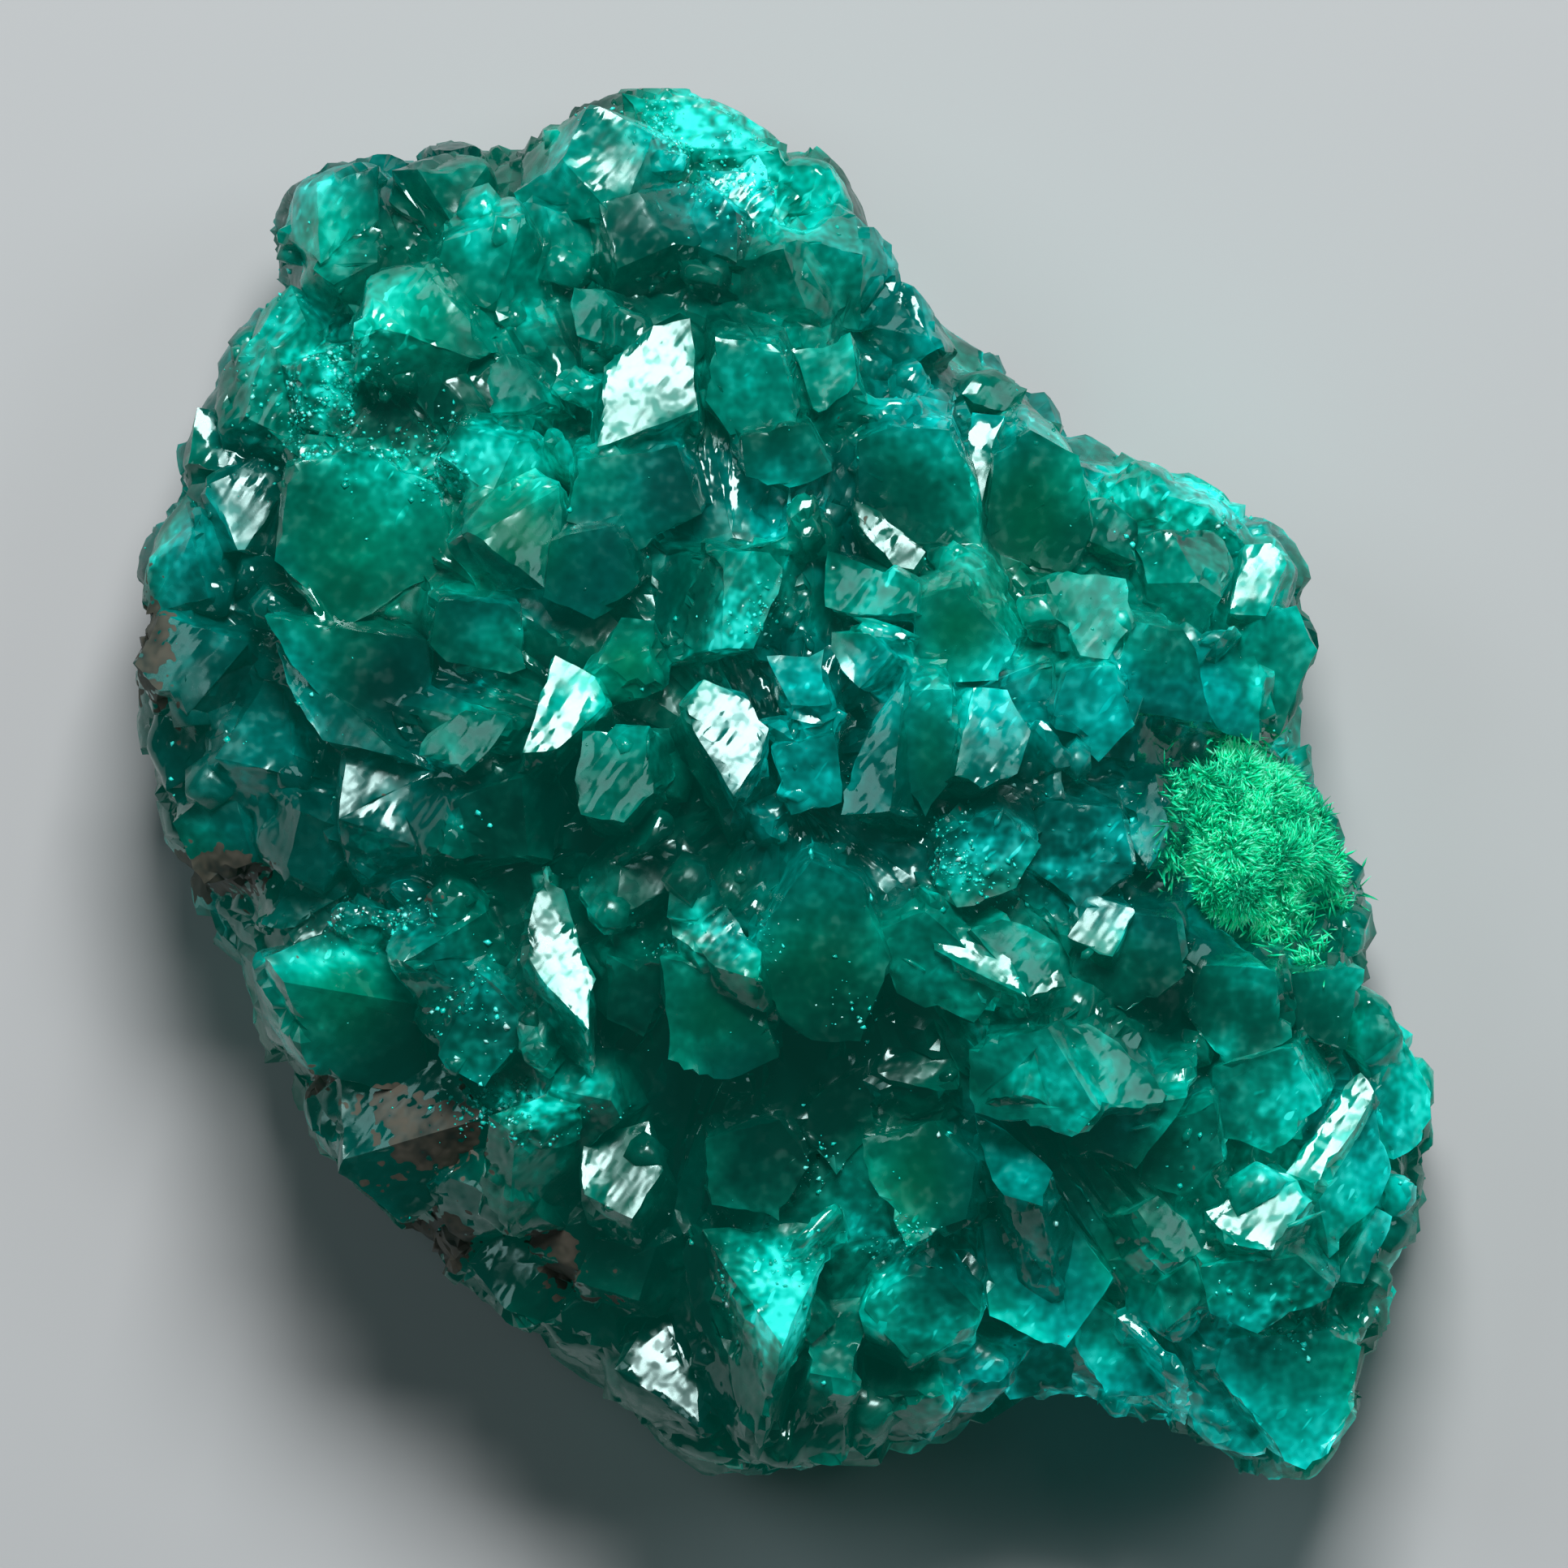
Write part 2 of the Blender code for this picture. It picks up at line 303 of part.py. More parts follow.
# Levels of the mass under the crystals: share of the outline's width, and height
FOOT_LEVELS = [(0.80, 0.0), (0.92, 2.8), (1.0, WAIST_HEIGHT)]
FOOT_ROUGHNESS = [0.5, 0.8, 0.0]
ROOF_SHARES = [0.92, 0.68, 0.36]

RANDOM = np.random.default_rng(SEED)


def outline_radius(bearing):
    """Distance of the rim from the middle, read round the outline by bearing in radians."""
    corners = np.array(OUTLINE)
    bearings = np.arctan2(corners[:, 1], corners[:, 0])
    order = np.argsort(bearings)
    radii = np.hypot(corners[:, 0], corners[:, 1])
    return np.interp(bearing, bearings[order], radii[order], period=2.0 * math.pi)


def share_of_rim(x, y):
    """How far out a place lies, from 0 in the middle to 1 on the outline."""
    return np.hypot(x, y) / outline_radius(np.arctan2(y, x))


def growth_height(x, y):
    """Height of the domed surface that the crystals grow through: a flattened arch."""
    share = np.clip(share_of_rim(x, y), 0.0, 1.0)
    arch = (1.0 - share * share) ** CROWN_ROUNDNESS
    return RIM_HEIGHT + (CROWN_HEIGHT - RIM_HEIGHT) * arch


def direction(bearing, tilt):
    """Unit vector that leans by tilt from straight up towards bearing, both in degrees."""
    around = math.radians(bearing)
    lean = math.radians(tilt)
    return np.array([math.sin(lean) * math.cos(around), math.sin(lean) * math.sin(around),
                     math.cos(lean)])


def kept_inside(corners):
    """Draws corners that pass the rim back onto it, and keeps them off the base."""
    moved = np.array(corners, dtype=float)
    share = share_of_rim(moved[:, 0], moved[:, 1])
    limit = RANDOM.uniform(0.985, 0.998)
    over = share > limit
    moved[over, :2] *= (limit / share[over])[:, None]
    moved[:, 2] = np.maximum(moved[:, 2], RANDOM.uniform(0.5, 1.5))
    return moved


class Solids:
    """Closed convex bodies gathered as one list of corners and faces."""

    def __init__(self):
        self.corners = []
        self.faces = []

    def hull(self, corners, inside=True):
        """Adds the convex body round some corners, with its flat faces whole."""
        points = kept_inside(corners) if inside else np.array(corners)
        work = bmesh.new()
        for point in points:
            work.verts.new(point * MM)
        bmesh.ops.remove_doubles(work, verts=work.verts, dist=0.02 * MM)
        wrapped = bmesh.ops.convex_hull(work, input=work.verts)
        loose = {piece for piece in wrapped["geom_interior"] + wrapped["geom_unused"]
                 if isinstance(piece, bmesh.types.BMVert)}
        bmesh.ops.delete(work, geom=list(loose), context="VERTS")
        bmesh.ops.dissolve_limit(work, angle_limit=math.radians(0.2), verts=work.verts,
                                 edges=work.edges)
        bmesh.ops.recalc_face_normals(work, faces=work.faces)
        work.verts.index_update()
        first = len(self.corners)
        self.corners += [tuple(vert.co) for vert in work.verts]
        self.faces += [[first + vert.index for vert in face.verts] for face in work.faces]
        work.free()

    def planes(self, normals, offsets, inside=True):
        """Adds the convex body that lies under every plane.

        Each three planes meet in one place, and it is a corner if no other plane cuts it off.
        """
        picks = np.array(list(itertools.combinations(range(len(normals)), 3)))
        systems = normals[picks]
        sound = np.abs(np.linalg.det(systems)) > 1e-4
        rights = offsets[picks[sound]][..., None]
        meets = np.linalg.solve(systems[sound], rights)[..., 0]
        under = (meets @ normals.T <= offsets + 1e-6).all(axis=1)
        self.hull(meets[under], inside)

    def mesh(self, name):
        made = bpy.data.meshes.new(name)
        made.from_pydata(self.corners, [], self.faces)
        made.validate()
        return made


def add_flat_end(solids, corners, bearing, tilt, rise):
    """A crystal led by its flat end: the end face, and a body that widens a little inwards."""
    flat = np.array(corners)
    middle = flat.mean(axis=0)
    spread = math.sqrt(np.ptp(flat[:, 0]) * np.ptp(flat[:, 1]))
    normal = direction(bearing, tilt)
    top = growth_height(*middle) + rise
    slope = -normal[:2] / normal[2]
    heights = top + (flat - middle) @ slope
    face = np.column_stack([flat, heights])
    centre = np.append(middle, top)
    depth = 2.2 + 1.1 * spread
    flare = 1.16 + 0.5 / spread
    foot = centre + (face - centre) * flare - normal * depth
    solids.hull(np.vstack([face, foot]))


def add_lump(solids, x, y, radius_x, radius_y, rise):
    """A rounded lump: planes that touch an ellipsoid all round, each pulled in a little."""
    count = LUMP_PLANES
    radius_z = 0.5 * (radius_x + radius_y) * 1.05
    middle = np.array([x, y, growth_height(x, y) + rise - 0.92 * radius_z])
    steps = np.arange(count) + 0.5
    polar = np.arccos(1.0 - 2.0 * steps / count)
    around = steps * math.pi * (3.0 - math.sqrt(5.0)) + RANDOM.uniform(0.0, 6.28)
    normals = np.column_stack([np.sin(polar) * np.cos(around), np.sin(polar) * np.sin(around),
                               np.cos(polar)])
    normals += RANDOM.normal(0.0, 0.13, normals.shape)
    normals /= np.linalg.norm(normals, axis=1)[:, None]
    reach = np.linalg.norm(normals * [radius_x, radius_y, radius_z], axis=1)
    reach *= RANDOM.uniform(0.86, 0.97, count)
    solids.planes(normals, reach + normals @ middle)


def add_pointed(solids, tip, axis, width, length, twist):
    """A dioptase crystal: a six-sided prism capped by three rhombs that meet at its tip."""
    side = np.cross(axis, [0.3, 0.2, 1.0] if abs(axis[2]) < 0.9 else [1.0, 0.0, 0.0])
    side /= np.linalg.norm(side)
    other = np.cross(axis, side)
    turns = twist + np.arange(6) * math.pi / 3.0
    walls = np.cos(turns)[:, None] * side + np.sin(turns)[:, None] * other
    cap_turns = twist + math.pi / 6.0 + np.arange(3) * math.tau / 3.0
    cap_sides = np.cos(cap_turns)[:, None] * side + np.sin(cap_turns)[:, None] * other
    caps = math.sin(CAP_ANGLE) * cap_sides + math.cos(CAP_ANGLE) * axis
    normals = np.vstack([walls, caps, [-axis]])
    wall_reach = 0.5 * width * RANDOM.uniform(0.85, 1.1, 6)
    cap_reach = RANDOM.uniform(-0.12, 0.0, 3) * width
    reach = np.concatenate([wall_reach, cap_reach, [length]])
    solids.planes(normals, reach + normals @ tip)


def add_named_crystals(solids):
    """The crystal ends, lumps and tips that can be told apart from above."""
    for corners, bearing, tilt, rise in ENDS.values():
        add_flat_end(solids, corners, bearing, tilt, rise)
    for x, y, radius_x, radius_y, rise in LUMPS:
        add_lump(solids, x, y, radius_x, radius_y, rise)
    for place, bearing, tilt, rise, width, length in POINTS:
        tip = np.array([*place, growth_height(*place) + rise])
        add_pointed(solids, tip, direction(bearing, tilt), width, length, 0.4)


def add_ground_crystals(solids):
    """Smaller crystals that close the gaps between the named ones, on a jittered grid."""
    pitch = GROUND_PITCH
    reach = int(28.0 / pitch)
    for row in range(-reach, reach + 1):
        for column in range(-reach, reach + 1):
            x = (column + 0.5 * (row % 2) + RANDOM.uniform(-0.3, 0.3)) * pitch
            y = (row + RANDOM.uniform(-0.3, 0.3)) * pitch * 0.9
            width = RANDOM.uniform(2.8, 4.2)
            twist = RANDOM.uniform(0.0, math.pi)
            bearing = math.degrees(math.atan2(y, x)) + RANDOM.uniform(-50.0, 50.0)
            share = float(share_of_rim(x, y))
            in_niche = math.hypot(x - 17.6, y + 1.9) < 4.4
            if share > 0.93 or in_niche:
                continue
            tilt = 8.0 + 34.0 * share * share + RANDOM.uniform(-8.0, 14.0)
            tip = np.array([x, y, growth_height(x, y) + RANDOM.uniform(-1.2, 0.3)])
            add_pointed(solids, tip, direction(bearing, tilt), width, 6.5, twist)


def add_flank_crystals(solids):
    """Lumps and short crystals down the flanks, which the view from above doesn't show."""
    for step in range(FLANK_COUNT):
        bearing = math.tau * (step + RANDOM.uniform(-0.25, 0.25)) / FLANK_COUNT
        rim = float(outline_radius(bearing))
        size = RANDOM.uniform(1.9, 2.9)
        level = RANDOM.uniform(2.2, 5.2)
        twist = RANDOM.uniform(0.0, math.pi)
        upward = RANDOM.uniform(-8.0, 30.0)
        outward = np.array([math.cos(bearing), math.sin(bearing)])
        if step % 3 == 0:
            tip = np.array([*outward * (rim - 0.25), level + 0.5])
            axis = direction(math.degrees(bearing), 90.0 - upward)
            add_pointed(solids, tip, axis, size * 1.7, size * 3.0, twist)
            continue
        x, y = outward * (rim - 0.9 * size)
        rise = level + size - float(growth_height(x, y))
        add_lump(solids, x, y, size, size * 1.1, rise)


def mass_mesh():
    """The closed mass under the crystals: the outline carried up through its levels."""
    corners = np.array(OUTLINE)[::-1]
    outward = corners / np.linalg.norm(corners, axis=1)[:, None]
    rings = []
    for (share, height), roughness in zip(FOOT_LEVELS, FOOT_ROUGHNESS):
        push = RANDOM.uniform(-roughness, roughness, len(corners))[:, None]
        rings.append(np.column_stack([corners * share + outward * push,
                                      np.full(len(corners), height)]))
    for share in ROOF_SHARES:
        flat = corners * share
        heights = growth_height(flat[:, 0], flat[:, 1]) - MASS_DEPTH * (1.4 - 0.9 * share)
        rings.append(np.column_stack([flat, heights]))
    for ring in rings[1:]:
        ring[:, 2] += RANDOM.uniform(-0.6, 0.6, len(ring))
    top = np.array([[0.0, 0.0, growth_height(0.0, 0.0) - 1.4 * MASS_DEPTH]])
    return tower_mesh("mass", rings, np.zeros((1, 3)), top)


def tuft_rings():
    """The tuft's outline carried up through its levels, in a pillow of blunt points."""
    outline = np.array(TUFT_OUTLINE)[::-1]
    middle = outline.mean(axis=0)
    points_up = np.where(np.arange(len(outline)) % 2 == 0, 0.25, -0.25)
    rings = []
    for share, height in TUFT_LEVELS:
        flat = middle + (outline - middle) * share
        heights = growth_height(*middle) + height + points_up
        heights += growth_height(flat[:, 0], flat[:, 1]) - growth_height(*middle)
        rings.append(np.column_stack([flat, heights]))
    return rings


def niche_corners():
    """Corners of the niche: the tuft's own, each moved outwards by the gap."""
    corners = np.vstack(tuft_rings())
    centre = corners.mean(axis=0)
    away = corners - centre
    return centre + away * (1.0 + FIT_GAP / np.linalg.norm(away, axis=1))[:, None]


def tower_mesh(name, rings, foot, top):
    """A closed body of triangles: rings of corners joined upwards, with a fan at each end."""
    count = len(rings[0])
    points = np.vstack(rings + [foot, top])
    faces = []
    for level in range(len(rings) - 1):
        for step in range(count):
            following = (step + 1) % count
            low = level * count
            high = low + count
            faces.append([low + step, low + following, high + following])
            faces.append([low + step, high + following, high + step])
    last = (len(rings) - 1) * count
    foot_index = len(points) - 2
    top_index = len(points) - 1
    for step in range(count):
        following = (step + 1) % count
        faces.append([following, step, foot_index])
        faces.append([last + step, last + following, top_index])
    made = bpy.data.meshes.new(name)
    made.from_pydata((points * MM).tolist(), [], faces)
    return made


def placed(name, mesh):
    thing = bpy.data.objects.new(name, mesh)
    bpy.context.scene.collection.objects.link(thing)
    return thing


def boolean(target, operation, cutter, self_overlaps=False):
    """Joins or cuts with another object, writes the result into the mesh, and drops the other."""
    step = target.modifiers.new(operation.lower(), "BOOLEAN")
    step.operation = operation
    step.object = cutter
    step.solver = "EXACT"
    step.use_self = self_overlaps
    bpy.context.view_layer.update()
    view = bpy.context.evaluated_depsgraph_get()
    result = bpy.data.meshes.new_from_object(target.evaluated_get(view))
    target.modifiers.clear()
    target.data = result
    bpy.data.objects.remove(cutter)


def material(name, colour, roughness):
    made = bpy.data.materials.new(name)
    made.use_nodes = True
    made.diffuse_color = (*colour, 1.0)
    shader = made.node_tree.nodes["Principled BSDF"]
    shader.inputs["Base Color"].default_value = (*colour, 1.0)
    shader.inputs["Roughness"].default_value = roughness
    shader.inputs["Metallic"].default_value = 0.0
    return made


def tidy_mesh(mesh):
    """Closes hairline doubles, and fills pockets that the union sealed inside."""
    work = bmesh.new()
    work.from_mesh(mesh)
    bmesh.ops.remove_doubles(work, verts=work.verts, dist=MERGE_GAP * MM)
    bmesh.ops.dissolve_degenerate(work, dist=0.5 * MERGE_GAP * MM, edges=work.edges)
    outer = joined_corners(min(work.verts, key=lambda vert: vert.co.z))
    pockets = [vert for vert in work.verts if vert not in outer]
    bmesh.ops.delete(work, geom=pockets, context="VERTS")
    work.to_mesh(mesh)
    work.free()


def joined_corners(start):
    """Every corner that edges lead to from a first one."""
    found = {start}
    waiting = [start]
    while waiting:
        corner = waiting.pop()
        for edge in corner.link_edges:
            other = edge.other_vert(corner)
            if other not in found:
                found.add(other)
                waiting.append(other)
    return found


def build_cluster():
    cluster = placed("dioptase_cluster", mass_mesh())
    solids = Solids()
    add_named_crystals(solids)
    add_ground_crystals(solids)
    add_flank_crystals(solids)
    boolean(cluster, "UNION", placed("crystals", solids.mesh("crystals")), True)
    niche = Solids()
    niche.hull(niche_corners(), inside=False)
    boolean(cluster, "DIFFERENCE", placed("niche", niche.mesh("niche")))
    tidy_mesh(cluster.data)
    cluster.data.name = "dioptase_cluster"
    cluster.data.materials.clear()
    cluster.data.materials.append(material("dioptase", (0.0, 0.26, 0.19), 0.08))
    return cluster


def build_tuft():
    rings = tuft_rings()
    foot = rings[0].mean(axis=0)[None, :]
    top = rings[-1].mean(axis=0)[None, :] + [0.0, 0.0, 0.3]
    tuft = placed("malachite_tuft", tower_mesh("malachite_tuft", rings, foot, top))
    tuft.data.materials.append(material("malachite", (0.02, 0.6, 0.16), 0.7))
    return tuft


def centre_on_base(things):
    """Moves the origin to the middle of the whole box, on the base."""
    corners = np.array([vert.co for thing in things for vert in thing.data.vertices])
    low = corners.min(axis=0)
    high = corners.max(axis=0)
    shift = np.array([-(low[0] + high[0]) / 2.0, -(low[1] + high[1]) / 2.0, -low[2]])
    for thing in things:
        for vert in thing.data.vertices:
            vert.co = np.array(vert.co) + shift


def main():
    for thing in list(bpy.data.objects):
        bpy.data.objects.remove(thing)
    centre_on_base([build_cluster(), build_tuft()])


main()
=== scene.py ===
"""The finish of a hand specimen of dioptase with a felted tuft of malachite.

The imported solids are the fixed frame. The cluster is dressed by a finer crust worked out from
its own solid, with small crystals, bright chips and frosty grains on it, and the tuft by thousands
of needles. Lengths named here are in millimetres and are turned into metres where a mesh is
written.
"""

import math

import bmesh
import bpy
import numpy as np
from bpy.props import FloatProperty, FloatVectorProperty, IntProperty, PointerProperty
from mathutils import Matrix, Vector


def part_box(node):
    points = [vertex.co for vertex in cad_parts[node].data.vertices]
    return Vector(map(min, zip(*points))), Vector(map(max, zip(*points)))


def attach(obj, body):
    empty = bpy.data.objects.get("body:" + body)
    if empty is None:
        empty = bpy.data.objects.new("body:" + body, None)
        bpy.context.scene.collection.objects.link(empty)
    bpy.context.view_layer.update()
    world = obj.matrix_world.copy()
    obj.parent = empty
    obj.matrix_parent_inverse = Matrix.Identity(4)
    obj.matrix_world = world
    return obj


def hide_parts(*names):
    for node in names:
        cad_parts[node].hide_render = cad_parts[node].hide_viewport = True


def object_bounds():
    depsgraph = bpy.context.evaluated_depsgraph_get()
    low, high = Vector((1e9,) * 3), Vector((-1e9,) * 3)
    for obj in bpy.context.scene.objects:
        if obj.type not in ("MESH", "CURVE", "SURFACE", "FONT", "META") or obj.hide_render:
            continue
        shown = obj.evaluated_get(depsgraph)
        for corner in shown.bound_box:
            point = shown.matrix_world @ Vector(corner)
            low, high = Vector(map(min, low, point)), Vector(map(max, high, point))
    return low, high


bl_info = {
    "name": "Dioptase specimen",
    "version": (1, 0, 0),
    "blender": (4, 5, 0),
    "location": "3D View > Sidebar > Specimen",
    "description": "Dresses the packed solids of a dioptase specimen",
    "category": "Object",
}

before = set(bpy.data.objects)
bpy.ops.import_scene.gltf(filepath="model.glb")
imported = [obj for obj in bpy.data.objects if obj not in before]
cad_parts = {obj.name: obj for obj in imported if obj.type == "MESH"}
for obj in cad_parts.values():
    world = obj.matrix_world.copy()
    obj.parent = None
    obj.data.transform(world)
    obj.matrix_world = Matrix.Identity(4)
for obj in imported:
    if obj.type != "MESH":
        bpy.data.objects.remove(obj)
MM = 0.001
CAD_BOX = [list(corner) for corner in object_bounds()]
CAD_LOW, CAD_HIGH = np.array(CAD_BOX) / MM

CLUSTER = "dioptase_cluster"
TUFT = "malachite_tuft"
CRUST = "dioptase_crust"
CRYSTAL_FINISH = "dioptase_crystal"
CRYSTAL_SLOT = "dioptase"
FELT_SLOT = "malachite"
BODY = "root"

# Width of the photograph's square frame, and the level at which its scale holds
VIEW_WIDTH = 58.0
VIEW_LEVEL = 15.0
CAMERA_HEIGHT = 1300.0

# Corners nearer than this are one corner, and a facet ends where its normal turns by more
# degrees than this
MERGE_GAP = 0.002
FACET_BEND = 0.5

# The flat ends that keep their shape: least area in square millimetres and least upward part
# of the normal
END_AREA = 2.2
END_UP = 0.72

# How often the long edges of the crust are halved at most
HALVINGS = 7

# The crust is coarser under these levels, by these factors
FOOT_LEVEL = 0.5
FOOT_COARSER = 3.0
FLANK_LEVEL = 6.0
FLANK_COARSER = 1.5

# Widths of the blocks that the lumps break into, and of the larger ones on the flanks
BLOCK = 2.1
SMALL_BLOCK = 0.95
FLANK_BLOCK = 3.6
SEAM_DEPTH = 0.07
SEAM_WIDTH = 0.12

# Growth steps on the flat ends: their bearing's cosine and sine, how many levels, and the rise
# over all of them
GROWTH_RUN = (0.62, 0.79)
GROWTH_LEVELS = 6.0
GROWTH_RISE = 0.09

# Sizes of the patterns in the crystals' colour and polish
CLOUD = 3.6
VEIL = 2.6
BROAD_CLOUD = 11.0
HUE_CLOUD = 8.0
DULL_PATCH = 1.9

# Bearing in degrees and sizes in metres of the broad and the fine striation
STRIATION_BEARING = 52.0
BROAD_STRIATION = (0.0022, 0.0009, 0.0015)
FINE_STRIATION = (0.00075, 0.0003, 0.0005)

# Heights in metres of the striations and of the broken surface of frosty places
BROAD_RELIEF = 0.000095
FINE_RELIEF = 0.00004
FROST_RELIEF = 0.00009
FLAT_SMOOTHING = 0.000012

# How far the chips and grains, and the small crystals, keep from the tuft's middle
TUFT_CLEARANCE = 3.2
CRYSTAL_CLEARANCE = 3.4

# Half the width of the coarse grid for the cover over the crystals
GRID_REACH = 30.0

# Soft spots seen from above, each with its middle's x and y, its reach along x and y and its
# strength. First the cyan glows, painted light where light comes through the crystals.
PAINTED_GLOWS = [
    (-3.2, 24.65, 3.4, 1.2, 1.0), (-8.7, 24.05, 0.6, 0.6, 0.9), (-17.6, 14.9, 2.4, 3.2, 0.75),
    (-16.3, 14.9, 1.0, 0.8, 0.6), (3.3, 19.5, 0.9, 1.3, 0.55), (-9.05, 17.3, 0.9, 0.9, 0.5),
    (-10.1, 12.05, 2.4, 1.2, 0.6), (15.55, 10.55, 2.2, 0.9, 0.9), (12.5, 10.9, 2.0, 0.8, 0.5),
    (8.2, 4.7, 0.8, 0.8, 0.55), (12.1, 4.4, 0.7, 0.7, 0.5), (-15.8, -6.15, 1.2, 0.6, 0.9),
    (-17.4, -6.7, 1.3, 0.5, 0.6), (-3.4, -5.0, 1.2, 0.8, 0.9), (-1.3, -6.3, 0.8, 0.9, 0.8),
    (-9.5, -11.65, 1.9, 0.7, 1.0), (-7.0, -11.0, 1.0, 0.6, 1.0), (-0.8, -18.3, 1.7, 2.1, 0.75),
    (-0.2, -19.9, 0.9, 0.9, 0.9), (7.2, -2.3, 0.9, 0.8, 0.7), (6.4, -3.7, 1.0, 0.7, 0.6),
    (13.6, -1.9, 1.2, 1.2, 0.45), (16.3, -9.7, 0.6, 0.6, 0.55), (20.05, -11.35, 1.0, 0.8, 0.6),
    (8.3, -14.2, 1.6, 1.2, 0.5), (16.2, -23.2, 1.9, 0.8, 0.6), (-17.3, 22.2, 0.9, 0.7, 0.5),
    (-0.9, 22.4, 1.0, 1.0, 0.7), (7.8, -9.8, 1.2, 0.8, 0.3), (10.6, -3.0, 1.3, 0.4, 0.6),
    (20.6, 10.0, 1.0, 1.2, 0.3), (3.8, 12.0, 1.0, 0.6, 0.2), (-22.8, 9.0, 0.9, 1.5, 0.3),
    (23.4, -11.0, 0.8, 1.4, 0.4), (-1.8, 5.9, 1.0, 1.4, 0.5), (15.4, -21.8, 1.0, 1.6, 0.3),
]

# Deep clear green
GREENS = [
    (-16.0, 8.5, 3.2, 3.2, 0.7), (-9.8, 9.2, 2.2, 2.1, 1.0), (-5.75, 4.4, 1.3, 1.3, 1.0),
    (9.2, 9.8, 1.8, 3.0, 0.9), (6.4, 5.8, 1.8, 1.8, 1.0), (5.4, 1.2, 1.2, 2.4, 0.7),
    (-16.1, -8.0, 3.6, 2.6, 0.9), (1.5, -6.0, 2.2, 3.0, 0.7), (-2.5, -8.5, 2.1, 2.0, 0.8),
    (4.9, -14.8, 2.0, 2.3, 0.9), (12.6, -17.0, 2.4, 3.0, 0.4), (-6.8, 22.4, 2.6, 2.6, 0.5),
    (-16.7, 20.9, 1.6, 1.6, 0.5), (-13.5, 17.2, 2.6, 2.4, 0.6), (19.0, -21.8, 2.4, 3.0, 0.4),
]

# Painted shade in the hollows
PAINTED_HOLLOW_SHADE = [
    (4.0, -8.95, 2.4, 2.0, 1.0), (-4.1, -17.5, 2.4, 1.6, 0.7), (15.6, -7.75, 3.0, 2.0, 0.8),
    (-8.0, -16.5, 3.0, 2.0, 0.5), (14.0, -16.4, 2.2, 1.6, 0.5), (-12.0, -1.9, 6.5, 2.0, 0.7),
    (-15.6, 3.6, 2.6, 2.0, 0.7), (0.9, -12.3, 1.4, 2.6, 0.8), (-3.6, 1.4, 1.6, 2.4, 0.4),
    (0.0, -1.6, 3.4, 1.4, 0.5), (11.0, -8.0, 2.0, 1.2, 0.5), (-5.0, -9.5, 3.0, 3.0, 0.4),
    (-8.6, 13.0, 1.2, 1.0, 0.3), (-12.5, -15.5, 4.0, 3.0, 0.35), (-4.6, -23.0, 3.0, 2.0, 0.3),
    (1.5, 11.8, 2.0, 1.6, 0.35), (13.2, -13.6, 2.4, 1.6, 0.5), (-19.5, -3.2, 3.0, 2.4, 0.3),
]

# Broad paler and darker parts: painted light and shade
PAINTED_LIGHT_AND_SHADE = [
    (-14.0, 19.5, 6.0, 5.0, 0.2), (4.0, 17.0, 5.0, 4.0, 0.16), (12.5, 8.5, 6.0, 5.0, 0.2),
    (12.0, 2.4, 3.0, 2.5, 0.08), (14.5, -19.5, 6.0, 5.0, 0.22), (-6.0, -18.0, 5.0, 5.0, -0.16),
    (15.0, -8.0, 6.0, 3.0, -0.18), (-21.0, 8.0, 4.0, 5.0, 0.08), (-17.0, 3.0, 4.0, 2.2, 0.1),
    (0.0, 2.4, 4.0, 2.5, -0.13), (-1.0, -8.0, 5.0, 3.0, -0.14), (0.0, -13.0, 5.0, 3.0, -0.12),
    (2.4, 7.2, 2.2, 2.2, -0.1), (-2.4, -22.0, 2.5, 2.0, -0.12), (-17.0, 17.0, 3.0, 3.0, 0.1),
    (12.0, -17.0, 2.5, 2.5, 0.12),
]

# Brown weathered skin
BROWNS = [
    (-23.6, 5.2, 0.9, 2.2, 0.9), (-22.2, 2.0, 0.9, 1.2, 0.5), (-20.9, -3.3, 1.9, 0.9, 1.0),
    (-14.6, -11.9, 1.5, 1.2, 0.9), (-12.2, -12.6, 1.5, 1.4, 0.9), (-13.4, -13.6, 1.4, 0.8, 0.7),
    (-17.5, -11.1, 0.9, 0.6, 0.7), (-15.2, -14.9, 1.2, 1.0, 0.55), (-12.4, -17.3, 0.9, 1.4, 1.0),
    (-13.2, -16.7, 1.2, 0.5, 0.9), (-9.0, -16.9, 1.2, 0.4, 0.9), (-8.2, -18.2, 0.9, 0.9, 0.9),
    (-6.5, -19.1, 0.8, 0.5, 0.4), (-13.1, -4.1, 0.7, 0.4, 0.4), (-3.4, -3.5, 0.5, 0.6, 0.6),
]

# Frosty broken places
FROSTS = [
    (-1.6, 21.8, 1.5, 1.2, 1.0), (-9.2, -12.2, 2.4, 0.9, 1.0), (-3.4, 24.4, 3.0, 1.1, 0.8),
    (-2.6, -5.6, 1.8, 1.0, 0.8), (6.9, -2.8, 1.7, 1.4, 0.7), (-17.2, 14.5, 2.2, 2.8, 0.7),
    (-13.0, 12.0, 1.8, 1.2, 0.6), (19.0, -19.4, 2.2, 1.1, 0.7), (1.2, -14.4, 0.9, 2.0, 0.5),
    (14.6, 9.8, 2.4, 1.2, 0.6), (4.6, -16.8, 1.8, 0.8, 0.6), (-10.9, -9.0, 1.6, 2.0, 0.5),
    (-0.6, -18.4, 1.6, 1.9, 0.6), (9.8, 16.0, 1.6, 1.2, 0.3), (-1.4, 6.4, 1.2, 1.6, 0.5),
    (10.6, -2.6, 2.2, 1.8, 0.4), (-15.0, -5.2, 2.4, 0.9, 0.5), (2.6, -8.0, 1.0, 1.6, 0.3),
]

